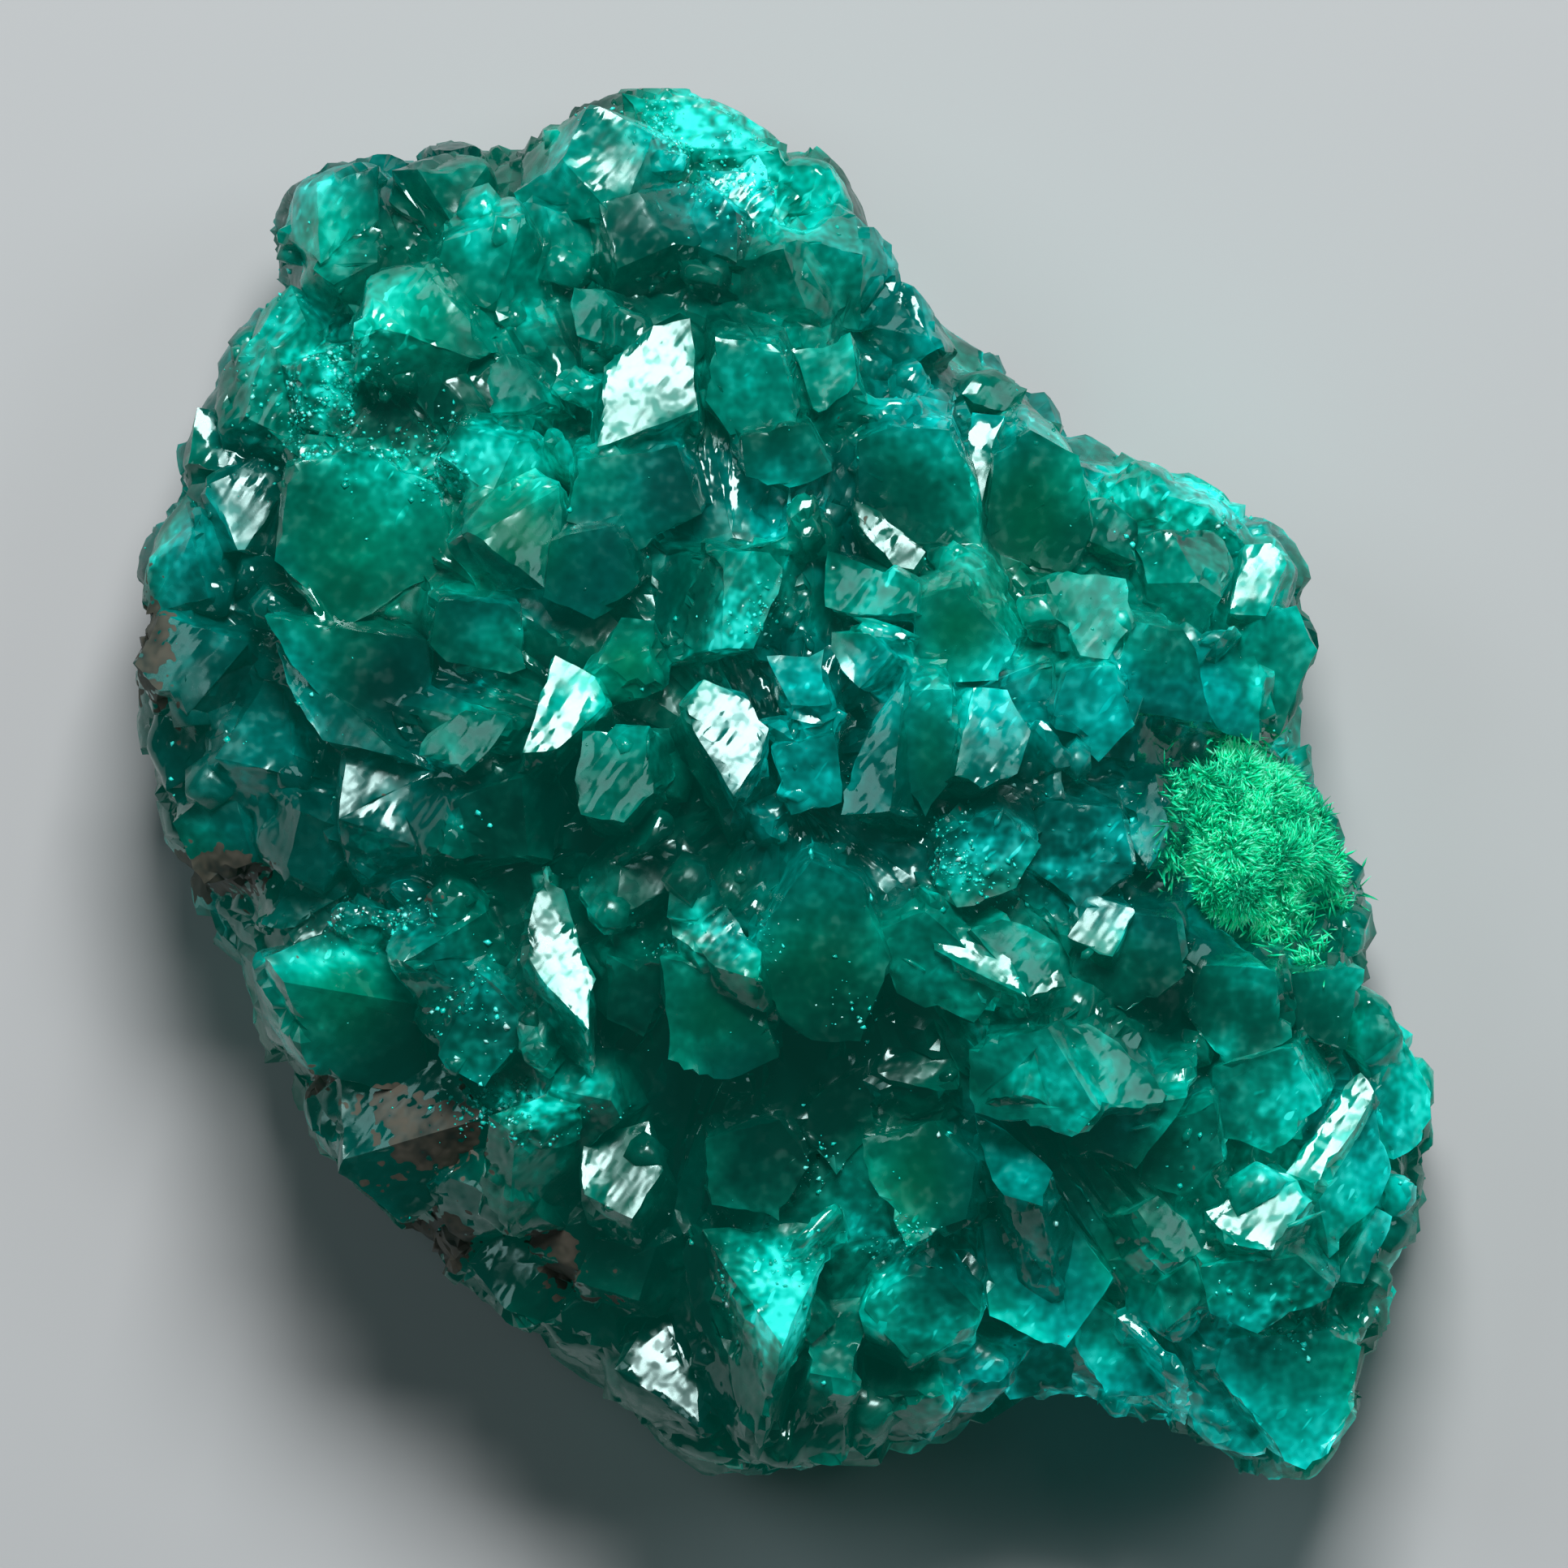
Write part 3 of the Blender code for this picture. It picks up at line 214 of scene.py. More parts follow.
# Bright chips: middle's x and y, length, width, and the bearing of the length in degrees
GLINTS = [
    (-13.1, 12.45, 0.9, 0.45, 15.0), (-13.25, 11.45, 0.9, 0.25, 20.0),
    (-11.3, 21.55, 0.5, 0.3, 60.0), (-16.05, 15.6, 0.9, 0.12, 5.0),
    (-14.75, 14.45, 0.6, 0.5, 100.0), (-2.55, -14.9, 0.8, 0.5, 160.0),
    (4.4, -1.0, 1.0, 0.4, -15.0), (7.9, -1.2, 0.8, 0.2, 65.0), (11.2, -6.2, 0.7, 0.35, 40.0),
    (7.4, -8.5, 0.7, 0.5, 120.0), (-0.05, -1.8, 0.9, 0.5, 70.0), (1.0, -13.0, 1.0, 0.4, 130.0),
    (-4.2, 5.4, 0.8, 0.55, 20.0), (0.9, 5.3, 0.9, 0.35, 115.0), (3.75, 5.8, 2.4, 0.34, -17.0),
    (2.0, -2.35, 0.7, 0.5, 20.0), (4.15, -2.0, 0.9, 0.1, 2.0), (5.3, -3.6, 1.3, 0.55, -38.0),
    (7.5, -3.1, 0.6, 0.5, 10.0), (4.6, -6.5, 1.3, 0.14, -30.0), (-5.0, 1.5, 0.14, 1.3, 0.0),
    (-5.85, 1.5, 0.7, 0.8, 0.0), (0.35, 1.95, 0.3, 1.1, -15.0), (-13.4, -6.7, 0.8, 0.2, 10.0),
    (14.9, -12.9, 0.6, 0.3, 60.0), (13.2, -12.6, 0.9, 0.12, 15.0), (13.3, -13.1, 0.8, 0.1, 15.0),
    (18.9, -16.2, 2.2, 0.16, 24.0), (18.6, -16.9, 1.4, 0.12, 20.0), (-9.0, 15.0, 0.3, 0.9, -20.0),
]

# Soft spots again: where loose needles stand round the tuft
TRAILS = [
    (14.9, -0.6, 0.7, 1.1, 0.6), (14.5, -2.6, 0.6, 0.8, 0.4), (18.4, -5.3, 0.9, 0.5, 1.0),
    (19.4, -6.2, 0.4, 0.5, 1.0), (20.6, -4.2, 0.5, 0.6, 0.5), (16.9, 1.4, 0.8, 0.5, 0.4),
]

# Bearing of the key light and its angle from straight up, which the chips are turned to, and its
# distance, width and radiance
KEY_BEARING = 85.0
KEY_LEAN = 36.0
KEY_DISTANCE = 500.0
KEY_WIDTH = 190.0
KEY_RADIANCE = 24.0

# The two fill panels: distance, width and colour
PANEL_DISTANCE = 520.0
PANEL_WIDTH = 180.0
PANEL_COLOUR = (0.80, 0.97, 1.0)

FLOOR_REACH = 1500.0

RANDOM = np.random.default_rng(20418)


def colour_property(name, description, default):
    """A colour that a user can change."""
    return FloatVectorProperty(name=name, description=description, subtype="COLOR", size=3,
                               min=0.0, max=1.0, default=default)


class CrystalSettings(bpy.types.PropertyGroup):
    """Colours and sizes of the dioptase."""

    shadow: colour_property("Shadow", "Colour deep in the crystals", (0.0, 0.03, 0.022))
    deep: colour_property("Deep", "Colour of the dark bodies", (0.0, 0.13, 0.088))
    middle: colour_property("Middle", "Usual colour of the crystals", (0.0, 0.36, 0.265))
    bright: colour_property("Bright", "Colour of thin and cloudy places", (0.0, 0.70, 0.57))
    # Painted glow: the top colour that the painted light reaches
    glow: colour_property("Glow", "Colour of the sunlit cyan places", (0.04, 1.0, 0.88))
    green: colour_property("Green", "Colour of the clear green crystals", (0.0, 0.3, 0.13))
    brown: colour_property("Brown", "Colour of the weathered skin", (0.105, 0.088, 0.062))
    absorbed: colour_property("Absorbed", "Colour that light keeps inside", (0.0, 0.84, 0.72))
    density: FloatProperty(
        name="Density", description="How fast light is taken up inside, per metre",
        default=800.0, min=0.0)
    clarity: FloatProperty(
        name="Clarity", description="Share of light that goes into the crystals",
        subtype="FACTOR", default=0.4, min=0.0, max=1.0)
    # Painted glow: colour of the emission in the dark places
    painted_depth_glow: colour_property("Depths", "Colour of the light out of the dark places",
                            (0.0, 0.065, 0.045))
    # Painted glow: strength of the emission that stands in for light scattered inside
    painted_glow_strength: FloatProperty(
        name="Inner light", description="Light that the crystals hand on from inside",
        default=0.35, min=0.0)
    ior: FloatProperty(
        name="Refraction", description="Refractive index of dioptase", default=1.67, min=1.0)
    mesh_edge: FloatProperty(
        name="Crust edge", description="Longest edge of the fine crust, in millimetres",
        default=0.56, min=0.1)
    small_count: IntProperty(
        name="Small crystals", description="How many small crystals grow on the crust",
        default=420, min=0)
    grain_count: IntProperty(
        name="Grains", description="How many frosty grains lie in the broken places",
        default=3600, min=0)
    chip_count: IntProperty(
        name="Chips", description="How many small bright chips lie about", default=420, min=0)


class FeltSettings(bpy.types.PropertyGroup):
    """Colours and sizes of the malachite."""

    tip: colour_property("Tip", "Colour of the needles' tips", (0.0, 0.90, 0.42))
    # Painted shade between the needles
    root: colour_property("Root", "Colour between the needles", (0.0, 0.20, 0.10))
    needle_count: IntProperty(
        name="Needles", description="How many needles the tuft has", default=9000, min=0)
    loose_count: IntProperty(
        name="Loose needles", description="How many needles stand round the tuft",
        default=1300, min=0)
    needle_length: FloatProperty(
        name="Needle length", description="Usual length, in millimetres", default=0.62, min=0.1)


def hashed(cells, seed):
    """Repeatable numbers from 0 to 1 for whole-number cells: products of the three counts are
    added, and then folded on themselves by shifts."""
    whole = cells.astype(np.int64).astype(np.uint32)
    mixed = (whole[..., 0] * np.uint32(374761393) + whole[..., 1] * np.uint32(668265263)
             + whole[..., 2] * np.uint32(2246822519) + np.uint32(seed * 3266489917 % 2**32))
    mixed = (mixed ^ (mixed >> np.uint32(13))) * np.uint32(1274126177)
    mixed = (mixed ^ (mixed >> np.uint32(15))) * np.uint32(2654435761)
    return ((mixed ^ (mixed >> np.uint32(16))) & np.uint32(0xFFFFFF)) / float(0xFFFFFF)


def soft_noise(points, size, seed):
    """Smooth noise from 0 to 1: the eight corners of each place's cell have hashed values,
    mixed by the fade 3t^2 - 2t^3 along each axis."""
    scaled = points / size
    cell = np.floor(scaled)
    part = scaled - cell
    fade = part * part * (3.0 - 2.0 * part)
    total = np.zeros(len(points))
    for corner in np.ndindex(2, 2, 2):
        step = np.array(corner)
        weight = np.prod(np.where(step, fade, 1.0 - fade), axis=1)
        total += weight * hashed(cell + step, seed)
    return total


def rough_noise(points, size, seed, octaves=4):
    """Sum of soft noises, each half as coarse and half as strong, centred on 0."""
    total = np.zeros(len(points))
    strength = 1.0
    for octave in range(octaves):
        total += strength * (soft_noise(points, size, seed + octave) - 0.5)
        size *= 0.5
        strength *= 0.5
    return total


def mosaic(points, size, seed):
    """Relief of grown-together blocks: each place belongs to the nearest of jittered seeds, one
    per cell, and its height is the dot product of its offset from that seed with the seed's own
    slope, plus the seed's own step. Returns the slope part, the step part and the edge gap."""
    scaled = points / size
    home = np.floor(scaled)
    best = np.full(len(points), np.inf)
    second = np.full(len(points), np.inf)
    height = np.zeros(len(points))
    level = np.zeros(len(points))
    for corner in np.ndindex(3, 3, 3):
        cell = home + np.array(corner) - 1.0
        jitter = np.stack([hashed(cell, seed + axis) for axis in range(3)], axis=1)
        away = scaled - (cell + jitter)
        distance = np.einsum("ij,ij->i", away, away)
        slope = np.stack([hashed(cell, seed + 5 + axis) for axis in range(3)], axis=1) - 0.5
        closer = distance < best
        second = np.where(closer, best, np.minimum(second, distance))
        height = np.where(closer, np.einsum("ij,ij->i", away, slope), height)
        level = np.where(closer, hashed(cell, seed + 9) - 0.5, level)
        best = np.where(closer, distance, best)
    return height * size, level, (np.sqrt(second) - np.sqrt(best)) * size


def spots(points, table):
    """Sum of soft spots seen from above: each is its strength times exp(-(dx/rx)^2-(dy/ry)^2)."""
    total = np.zeros(len(points))
    for x, y, reach_x, reach_y, strength in table:
        away = ((points[:, 0] - x) / reach_x) ** 2 + ((points[:, 1] - y) / reach_y) ** 2
        total += strength * np.exp(-away)
    return total


def smoothstep(low, high, value):
    """0 below low, 1 above high, and 3t^2 - 2t^3 between."""
    share = np.clip((value - low) / (high - low), 0.0, 1.0)
    return share * share * (3.0 - 2.0 * share)


def write_mesh(name, points, faces):
    """A mesh of triangles from arrays of corners, in millimetres, and corner numbers."""
    mesh = bpy.data.meshes.new(name)
    mesh.vertices.add(len(points))
    mesh.vertices.foreach_set("co", (points * MM).astype(np.float32).ravel())
    mesh.loops.add(faces.size)
    mesh.loops.foreach_set("vertex_index", faces.astype(np.int32).ravel())
    mesh.polygons.add(len(faces))
    mesh.polygons.foreach_set("loop_start", np.arange(0, faces.size, 3, dtype=np.int32))
    mesh.update(calc_edges=True)
    return mesh


def mesh_arrays(mesh):
    """Corners in millimetres and corner numbers of a mesh of triangles."""
    points = np.empty(len(mesh.vertices) * 3)
    mesh.vertices.foreach_get("co", points)
    faces = np.empty(len(mesh.loops), dtype=np.int64)
    mesh.loops.foreach_get("vertex_index", faces)
    return points.reshape(-1, 3) / MM, faces.reshape(-1, 3)


def write_attribute(mesh, name, values, domain="POINT"):
    """A number for each corner or face, for the materials to read by name."""
    made = mesh.attributes.new(name, "FLOAT", domain)
    made.data.foreach_set("value", values.astype(np.float32))


def linked(name, data):
    """A new object in the scene."""
    made = bpy.data.objects.new(name, data)
    bpy.context.scene.collection.objects.link(made)
    return made


def placed(mesh, slot, material, *nodes):
    """A piece at the origin that rides on the specimen, and stands for the nodes named."""
    piece = linked(mesh.name, mesh)
    mesh.materials.append(material)
    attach(piece, BODY)
    if nodes:
        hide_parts(*nodes)


def kept_in_box(points):
    """Corners held inside the solids' own box."""
    return np.clip(points, CAD_LOW, CAD_HIGH)


class Flow:
    """A socket on its way through a material. Numbers are joined by + - and *."""

    def __init__(self, finish, socket):
        self.finish = finish
        self.socket = socket

    def combine(self, operation, first, second, limited=False):
        settings = {"operation": operation, "use_clamp": limited}
        return self.finish.out(self.finish.node("Math", settings, {0: first, 1: second}))

    def __add__(self, other):
        return self.combine("ADD", self, other)

    __radd__ = __add__

    def __sub__(self, other):
        return self.combine("SUBTRACT", self, other)

    def __rsub__(self, other):
        return self.combine("SUBTRACT", other, self)

    def __mul__(self, other):
        return self.combine("MULTIPLY", self, other)

    __rmul__ = __mul__

    def limited(self):
        """Held between 0 and 1."""
        return self.combine("ADD", self, 0.0, True)


class Finish:
    """A material being made. node() adds any node, and the other methods are short forms."""

    def __init__(self, name):
        self.material = bpy.data.materials.new(name)
        self.material.use_nodes = True
        self.tree = self.material.node_tree
        self.tree.nodes.clear()
        self.place = self.out(self.node("TexCoord"), "Object")

    def node(self, kind, settings=None, inputs=None):
        made = self.tree.nodes.new("ShaderNode" + kind)
        for key, value in (settings or {}).items():
            setattr(made, key, value)
        for key, value in (inputs or {}).items():
            if isinstance(value, Flow):
                self.tree.links.new(value.socket, made.inputs[key])
            else:
                made.inputs[key].default_value = value
        return made

    def out(self, node, name=0):
        return Flow(self, node.outputs[name])

    def attribute(self, name):
        return self.out(self.node("Attribute", {"attribute_name": name}), "Fac")

    def stretched(self, turn, scale):
        """The place turned about Z and scaled per axis, for patterns that run one way."""
        inputs = {"Vector": self.place, "Rotation": turn, "Scale": scale}
        return self.out(self.node("Mapping", {"vector_type": "TEXTURE"}, inputs))

    def noise(self, scale, detail=0.0, roughness=0.5, place=None):
        inputs = {"Vector": place or self.place, "Scale": scale, "Detail": detail,
                  "Roughness": roughness}
        return self.out(self.node("TexNoise", None, inputs), "Fac")

    def between(self, value, low, high):
        """A number brought from low..high to 0..1 and held there, with soft ends."""
        settings = {"interpolation_type": "SMOOTHSTEP"}
        inputs = {"Value": value, "From Min": low, "From Max": high}
        return self.out(self.node("MapRange", settings, inputs))

    def mix(self, share, first, second):
        first, second = [value if isinstance(value, Flow) else (*value, 1.0)
                         for value in (first, second)]
        return self.out(self.node("Mix", {"data_type": "RGBA"}, {0: share, 6: first, 7: second}), 2)

    def ramp(self, value, stops):
        """A colour for a number, from pairs of a number and its colour."""
        made = self.node("ValToRGB", None, {"Fac": value})
        elements = made.color_ramp.elements
        while len(elements) < len(stops):
            elements.new(1.0)
        for element, (place, colour) in zip(elements, stops):
            element.position = place
            element.color = (*colour, 1.0)
        return self.out(made)

    def bump(self, height):
        """A normal from a height in metres."""
        inputs = {"Height": height, "Strength": 1.0, "Distance": 1.0}
        return self.out(self.node("Bump", None, inputs), "Normal")

    def made(self, surface, volume=None):
        """The material, once it has its Principled shader and perhaps absorption inside."""
        inputs = {"Surface": self.out(self.node("BsdfPrincipled", None, surface), "BSDF")}
        if volume:
            inputs["Volume"] = self.out(self.node("VolumeAbsorption", None, volume), "Volume")
        self.node("OutputMaterial", None, inputs)
        return self.material


def crystal_colour(finish, settings, light, green, hue):
    """From a number for lightness to the dioptase's greens: shadow, deep, middle, bright and
    glow in turn, drawn towards clear green or blue by two masks. The lightness carries painted
    light and shade, so the dark ends are painted shade and the bright ends painted glow."""
    teal = finish.ramp(light, [
        (0.0, settings.shadow), (0.24, settings.deep), (0.5, settings.middle),
        (0.74, settings.bright), (1.0, settings.glow)])
    clear = finish.ramp(light, [
        (0.0, (0.0, 0.03, 0.012)), (0.3, (0.0, 0.12, 0.045)), (0.6, settings.green),
        (0.85, (0.0, 0.6, 0.33)), (1.0, (0.05, 0.95, 0.66))])
    blue = finish.ramp(light, [
        (0.0, (0.0, 0.025, 0.026)), (0.3, (0.0, 0.13, 0.125)), (0.6, (0.0, 0.42, 0.4)),
        (0.85, (0.0, 0.72, 0.7)), (1.0, (0.1, 0.98, 0.98))])
    return finish.mix(green, finish.mix(hue, teal, blue), clear)


def crystal_finish(settings):
    """Cloudy see-through dioptase, with veils, painted sparkles, growth lines, a weathered skin and
    a painted glow from inside given as emission. The broad pattern comes from the pieces' own
    numbers, and the finest from noise."""
    finish = Finish(CRYSTAL_FINISH)
    frost = finish.attribute("frost")
    flat = finish.attribute("flat_end")
    lightness = finish.attribute("lightness")
    clear = finish.attribute("green").limited()

    fine = finish.noise(scale=1800.0, detail=1.0, roughness=0.7)
    bearing = (0.0, 0.0, math.radians(STRIATION_BEARING))
    streaks = finish.noise(1.0, place=finish.stretched(bearing, BROAD_STRIATION))
    grain = finish.noise(1.0, place=finish.stretched(bearing, FINE_STRIATION))
    # painted glints: small bright specks in the colour, standing in for glints of light
    painted_glint = finish.between(grain, 0.70, 0.77)
    painted_glint = painted_glint * finish.between(lightness + frost * 0.4, 0.42, 0.75)

    light = (lightness + (finish.attribute("tone") - 0.5) * 0.14
             + (fine - 0.5) * (lightness * 0.9 + 0.13) * (1.0 - clear * 0.6)
             + painted_glint * 0.4 + frost * (fine - 0.46) * 1.2).limited()
    body = crystal_colour(finish, settings, light, clear * 0.85, finish.attribute("hue"))
    skin = finish.ramp(fine, [
        (0.3, (0.04, 0.045, 0.035)), (0.5, settings.brown), (0.7, (0.17, 0.135, 0.10))])
    covered = finish.between(finish.attribute("brown") + (fine - 0.5) * 1.7, 0.50, 0.56)
    # painted glow: the emission colour follows the painted lightness and is held up in the dark
    # places by a dim glow colour
    painted_glow_colour = finish.mix(finish.between(light, 0.25, 1.0), settings.painted_depth_glow, body)
    painted_glow = finish.mix(covered, painted_glow_colour, (0.0, 0.0, 0.0))

    relief = (streaks - 0.5) * BROAD_RELIEF * (0.15 + flat) \
        + (grain - 0.5) * (FINE_RELIEF + frost * FROST_RELIEF - flat * FLAT_SMOOTHING)
    rough = finish.between(fine, 0.48, 0.70) * (0.12 + flat * 0.14) \
        + finish.attribute("roughness") + covered * 0.5
    return finish.made({
        "Base Color": finish.mix(covered * 0.92, body, skin),
        "Roughness": rough.limited(), "IOR": settings.ior,
        "Specular IOR Level": 0.36, "Specular Tint": (0.72, 1.0, 0.97, 1.0),
        "Transmission Weight": settings.clarity, "Metallic": 0.0,
        "Normal": finish.bump(relief), "Emission Color": painted_glow,
        "Emission Strength": settings.painted_glow_strength,
    }, {"Color": (*settings.absorbed, 1.0), "Density": settings.density})


def grain_finish(settings):
    """Frosty white to cyan grains."""
    finish = Finish("dioptase_grains")
    colour = finish.ramp(finish.attribute("tone"), [
        (0.0, settings.middle), (0.5, settings.bright), (0.85, settings.glow),
        (1.0, (0.6, 1.0, 0.96))])
    return finish.made({
        "Base Color": colour, "Roughness": 0.16, "IOR": settings.ior, "Metallic": 0.0})


def felt_finish(settings, name):
    """Silky malachite: painted shade at the roots of the needles and bright at their tips, with a
    painted highlight on the palest tips and a painted glow by emission.
    """
    finish = Finish(name)
    # painted shade at the roots, the needles' colour at the tips, and a pale painted highlight at
    # the top
    colour = finish.ramp(finish.attribute("share"), [
        (0.0, settings.root), (0.72, settings.tip), (1.0, (0.16, 1.0, 0.62))])
    # painted glow: the colour is also given out as emission
    return finish.made({
        "Base Color": colour, "Roughness": 0.5, "IOR": 1.6, "Specular IOR Level": 0.25,
        "Metallic": 0.0, "Emission Color": colour, "Emission Strength": 0.18})


def solid_of(name):
    """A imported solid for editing, with its doubled corners joined."""
    work = bmesh.new()
    work.from_mesh(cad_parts[name].data)
    bmesh.ops.remove_doubles(work, verts=work.verts, dist=MERGE_GAP * MM)
    return work


def arrays_of(work):
    """Corners in millimetres and corner numbers of an edited solid, which is then let go."""
    mesh = bpy.data.meshes.new("work")
    work.to_mesh(mesh)
    work.free()
    arrays = mesh_arrays(mesh)
    bpy.data.meshes.remove(mesh)
    return arrays


def plane_groups(work):
    """Numbers the faces of a mesh by the flat facet they lie in. Returns each facet's area."""
    layer = work.faces.layers.int.new("facet")
    limit = math.cos(math.radians(FACET_BEND))
    areas = []
    for face in work.faces:
        face[layer] = -1
    for first in work.faces:
        if first[layer] >= 0:
            continue
        number = len(areas)
        first[layer] = number
        area = 0.0
        waiting = [first]
        while waiting:
            face = waiting.pop()
            area += face.calc_area()
            for edge in face.edges:
                for other in edge.link_faces:
                    if other[layer] < 0 and other.normal.dot(first.normal) > limit:
                        other[layer] = number
                        waiting.append(other)
        areas.append(area / MM ** 2)
    return np.array(areas)


def fine_triangles(longest):
    """The cluster's own surface in small triangles: corners in millimetres, corner numbers, and
    the facet that each triangle lies in, with the facets' areas."""
    work = solid_of(CLUSTER)
    areas = plane_groups(work)
    for _ in range(HALVINGS):
        long_edges = []
        for edge in work.edges:
            level = min(edge.verts[0].co.z, edge.verts[1].co.z) / MM
            coarser = FLANK_COARSER if level < FLANK_LEVEL else 1.0
            if level < FOOT_LEVEL:
                coarser = FOOT_COARSER
            if edge.calc_length() > longest * MM * coarser:
                long_edges.append(edge)
        if not long_edges:
            break
        bmesh.ops.subdivide_edges(work, edges=long_edges, cuts=1, use_grid_fill=True)
        bmesh.ops.triangulate(work, faces=[face for face in work.faces if len(face.verts) > 3])
    layer = work.faces.layers.int["facet"]
    facet = np.array([face[layer] for face in work.faces])
    work.faces.layers.int.remove(layer)
    points, faces = arrays_of(work)
    _, kept = np.unique(np.sort(faces, axis=1), axis=0, return_index=True)
    kept.sort()
    return points, faces[kept], facet[kept], areas


def unit(vectors):
    """Rows brought to length 1."""
    return vectors / np.maximum(np.linalg.norm(vectors, axis=1), 1e-12)[:, None]


def face_normals(points, faces):
    """Cross products of two edges of each triangle: twice its area along its normal."""
    corner = points[faces]
    return np.cross(corner[:, 1] - corner[:, 0], corner[:, 2] - corner[:, 0])


def gathered(faces, values, count):
    """Sum over the triangles round each corner of the row of values of each triangle."""
    total = np.zeros((count, values.shape[1]))
    for column in range(values.shape[1]):
        for corner in range(3):
            total[:, column] += np.bincount(faces[:, corner], values[:, column], count)
    return total


def corner_normals(points, faces):
    """Mean of the normals of the triangles round each corner, weighted by their areas."""
    return unit(gathered(faces, face_normals(points, faces), len(points)))


def smoothed(points, faces, weight, rounds=4):
    """Moves each corner towards the mean of its neighbours, by its own weight, some times."""
    count = len(points)
    start, end = np.concatenate([faces[:, [0, 1]], faces[:, [1, 2]], faces[:, [2, 0]]]).T
    degree = np.bincount(start, minlength=count) + np.bincount(end, minlength=count)
    for _ in range(rounds):
        mean = np.zeros_like(points)
        for axis in range(3):
            mean[:, axis] = (np.bincount(start, points[end, axis], count)
                             + np.bincount(end, points[start, axis], count))
        mean /= np.maximum(degree, 1)[:, None]
        points = points + (mean - points) * weight[:, None]
    return points


def cover_over(crust, places, cell=3.0):
    """Height of a soft cover over the crystals above each place: the crust's highest corner in
    each square of a coarse grid, spread over its neighbours and averaged."""
    count = int(2.0 * GRID_REACH / cell)
    squares = np.clip(((crust[:, :2] + GRID_REACH) / cell).astype(int), 0, count - 1)
    grid = np.zeros((count, count))
    np.maximum.at(grid, (squares[:, 1], squares[:, 0]), crust[:, 2])
    padded = np.pad(grid, 1, mode="edge")
    shifts = [padded[1 + dy:count + 1 + dy, 1 + dx:count + 1 + dx]
              for dy in (-1, 0, 1) for dx in (-1, 0, 1)]
    cover = 0.5 * np.max(shifts, axis=0) + 0.5 * np.mean(shifts, axis=0)
    middle = (places[:, :2] + GRID_REACH) / cell - 0.5
    home = np.clip(np.floor(middle).astype(int), 0, count - 2)
    x, y = home.T
    tx, ty = np.clip(middle - home, 0.0, 1.0).T
    return (cover[y, x] * (1 - tx) * (1 - ty) + cover[y, x + 1] * tx * (1 - ty)
            + cover[y + 1, x] * (1 - tx) * ty + cover[y + 1, x + 1] * tx * ty)


def crust_surface(settings):
    """The cluster's own solid made fine: lumps and flanks are softened and broken into small
    tilted blocks, and the large flat ends keep their edges and get low growth steps."""
    points, faces, facet, areas = fine_triangles(settings.mesh_edge)
    is_end = (areas[facet] > END_AREA) & (unit(face_normals(points, faces))[:, 2] > END_UP)
    is_base = (points[faces][:, :, 2] < 0.02).all(axis=1)
    marks = np.column_stack([np.ones(len(faces)), is_end, is_base])
    round_each, ends, bases = gathered(faces, marks, len(points)).T
    end_share = ends / round_each
    on_base = bases > 0
    inside_end = smoothstep(0.4, 1.0, end_share)
    loose = np.where(on_base | (end_share > 0.0), 0.0, 0.5)
    points = smoothed(points, faces, loose)
    out = corner_normals(points, faces)
    block, step, gap = mosaic(points, BLOCK, 31)
    small, small_step, _ = mosaic(points, SMALL_BLOCK, 57)
    low = 1.0 - smoothstep(5.0, 9.0, points[:, 2])
    broken, broken_step, _ = mosaic(points, FLANK_BLOCK, 83)
    push = block * 0.30 + step * 0.16 + small * 0.08 + small_step * 0.02
    push += low * (broken * 0.50 + broken_step * 0.40)
    push += rough_noise(points, 1.3, 11) * 0.05
    push -= SEAM_DEPTH * np.exp(-(gap / SEAM_WIDTH) ** 2)
    along, across = GROWTH_RUN
    run = points @ np.array([[along, across, 0.0], [-across, along, 0.0], [0.0, 0.0, 1.0]]).T
    growth = soft_noise(run * [0.9, 0.22, 0.5], 1.0, 7)
    steps = np.floor(growth * GROWTH_LEVELS) / GROWTH_LEVELS - 0.5
    push = push * (1.0 - inside_end) + inside_end * steps * GROWTH_RISE
    push[on_base] = 0.0
    points = kept_in_box(points + out * push[:, None])
    return points, faces, facet, end_share


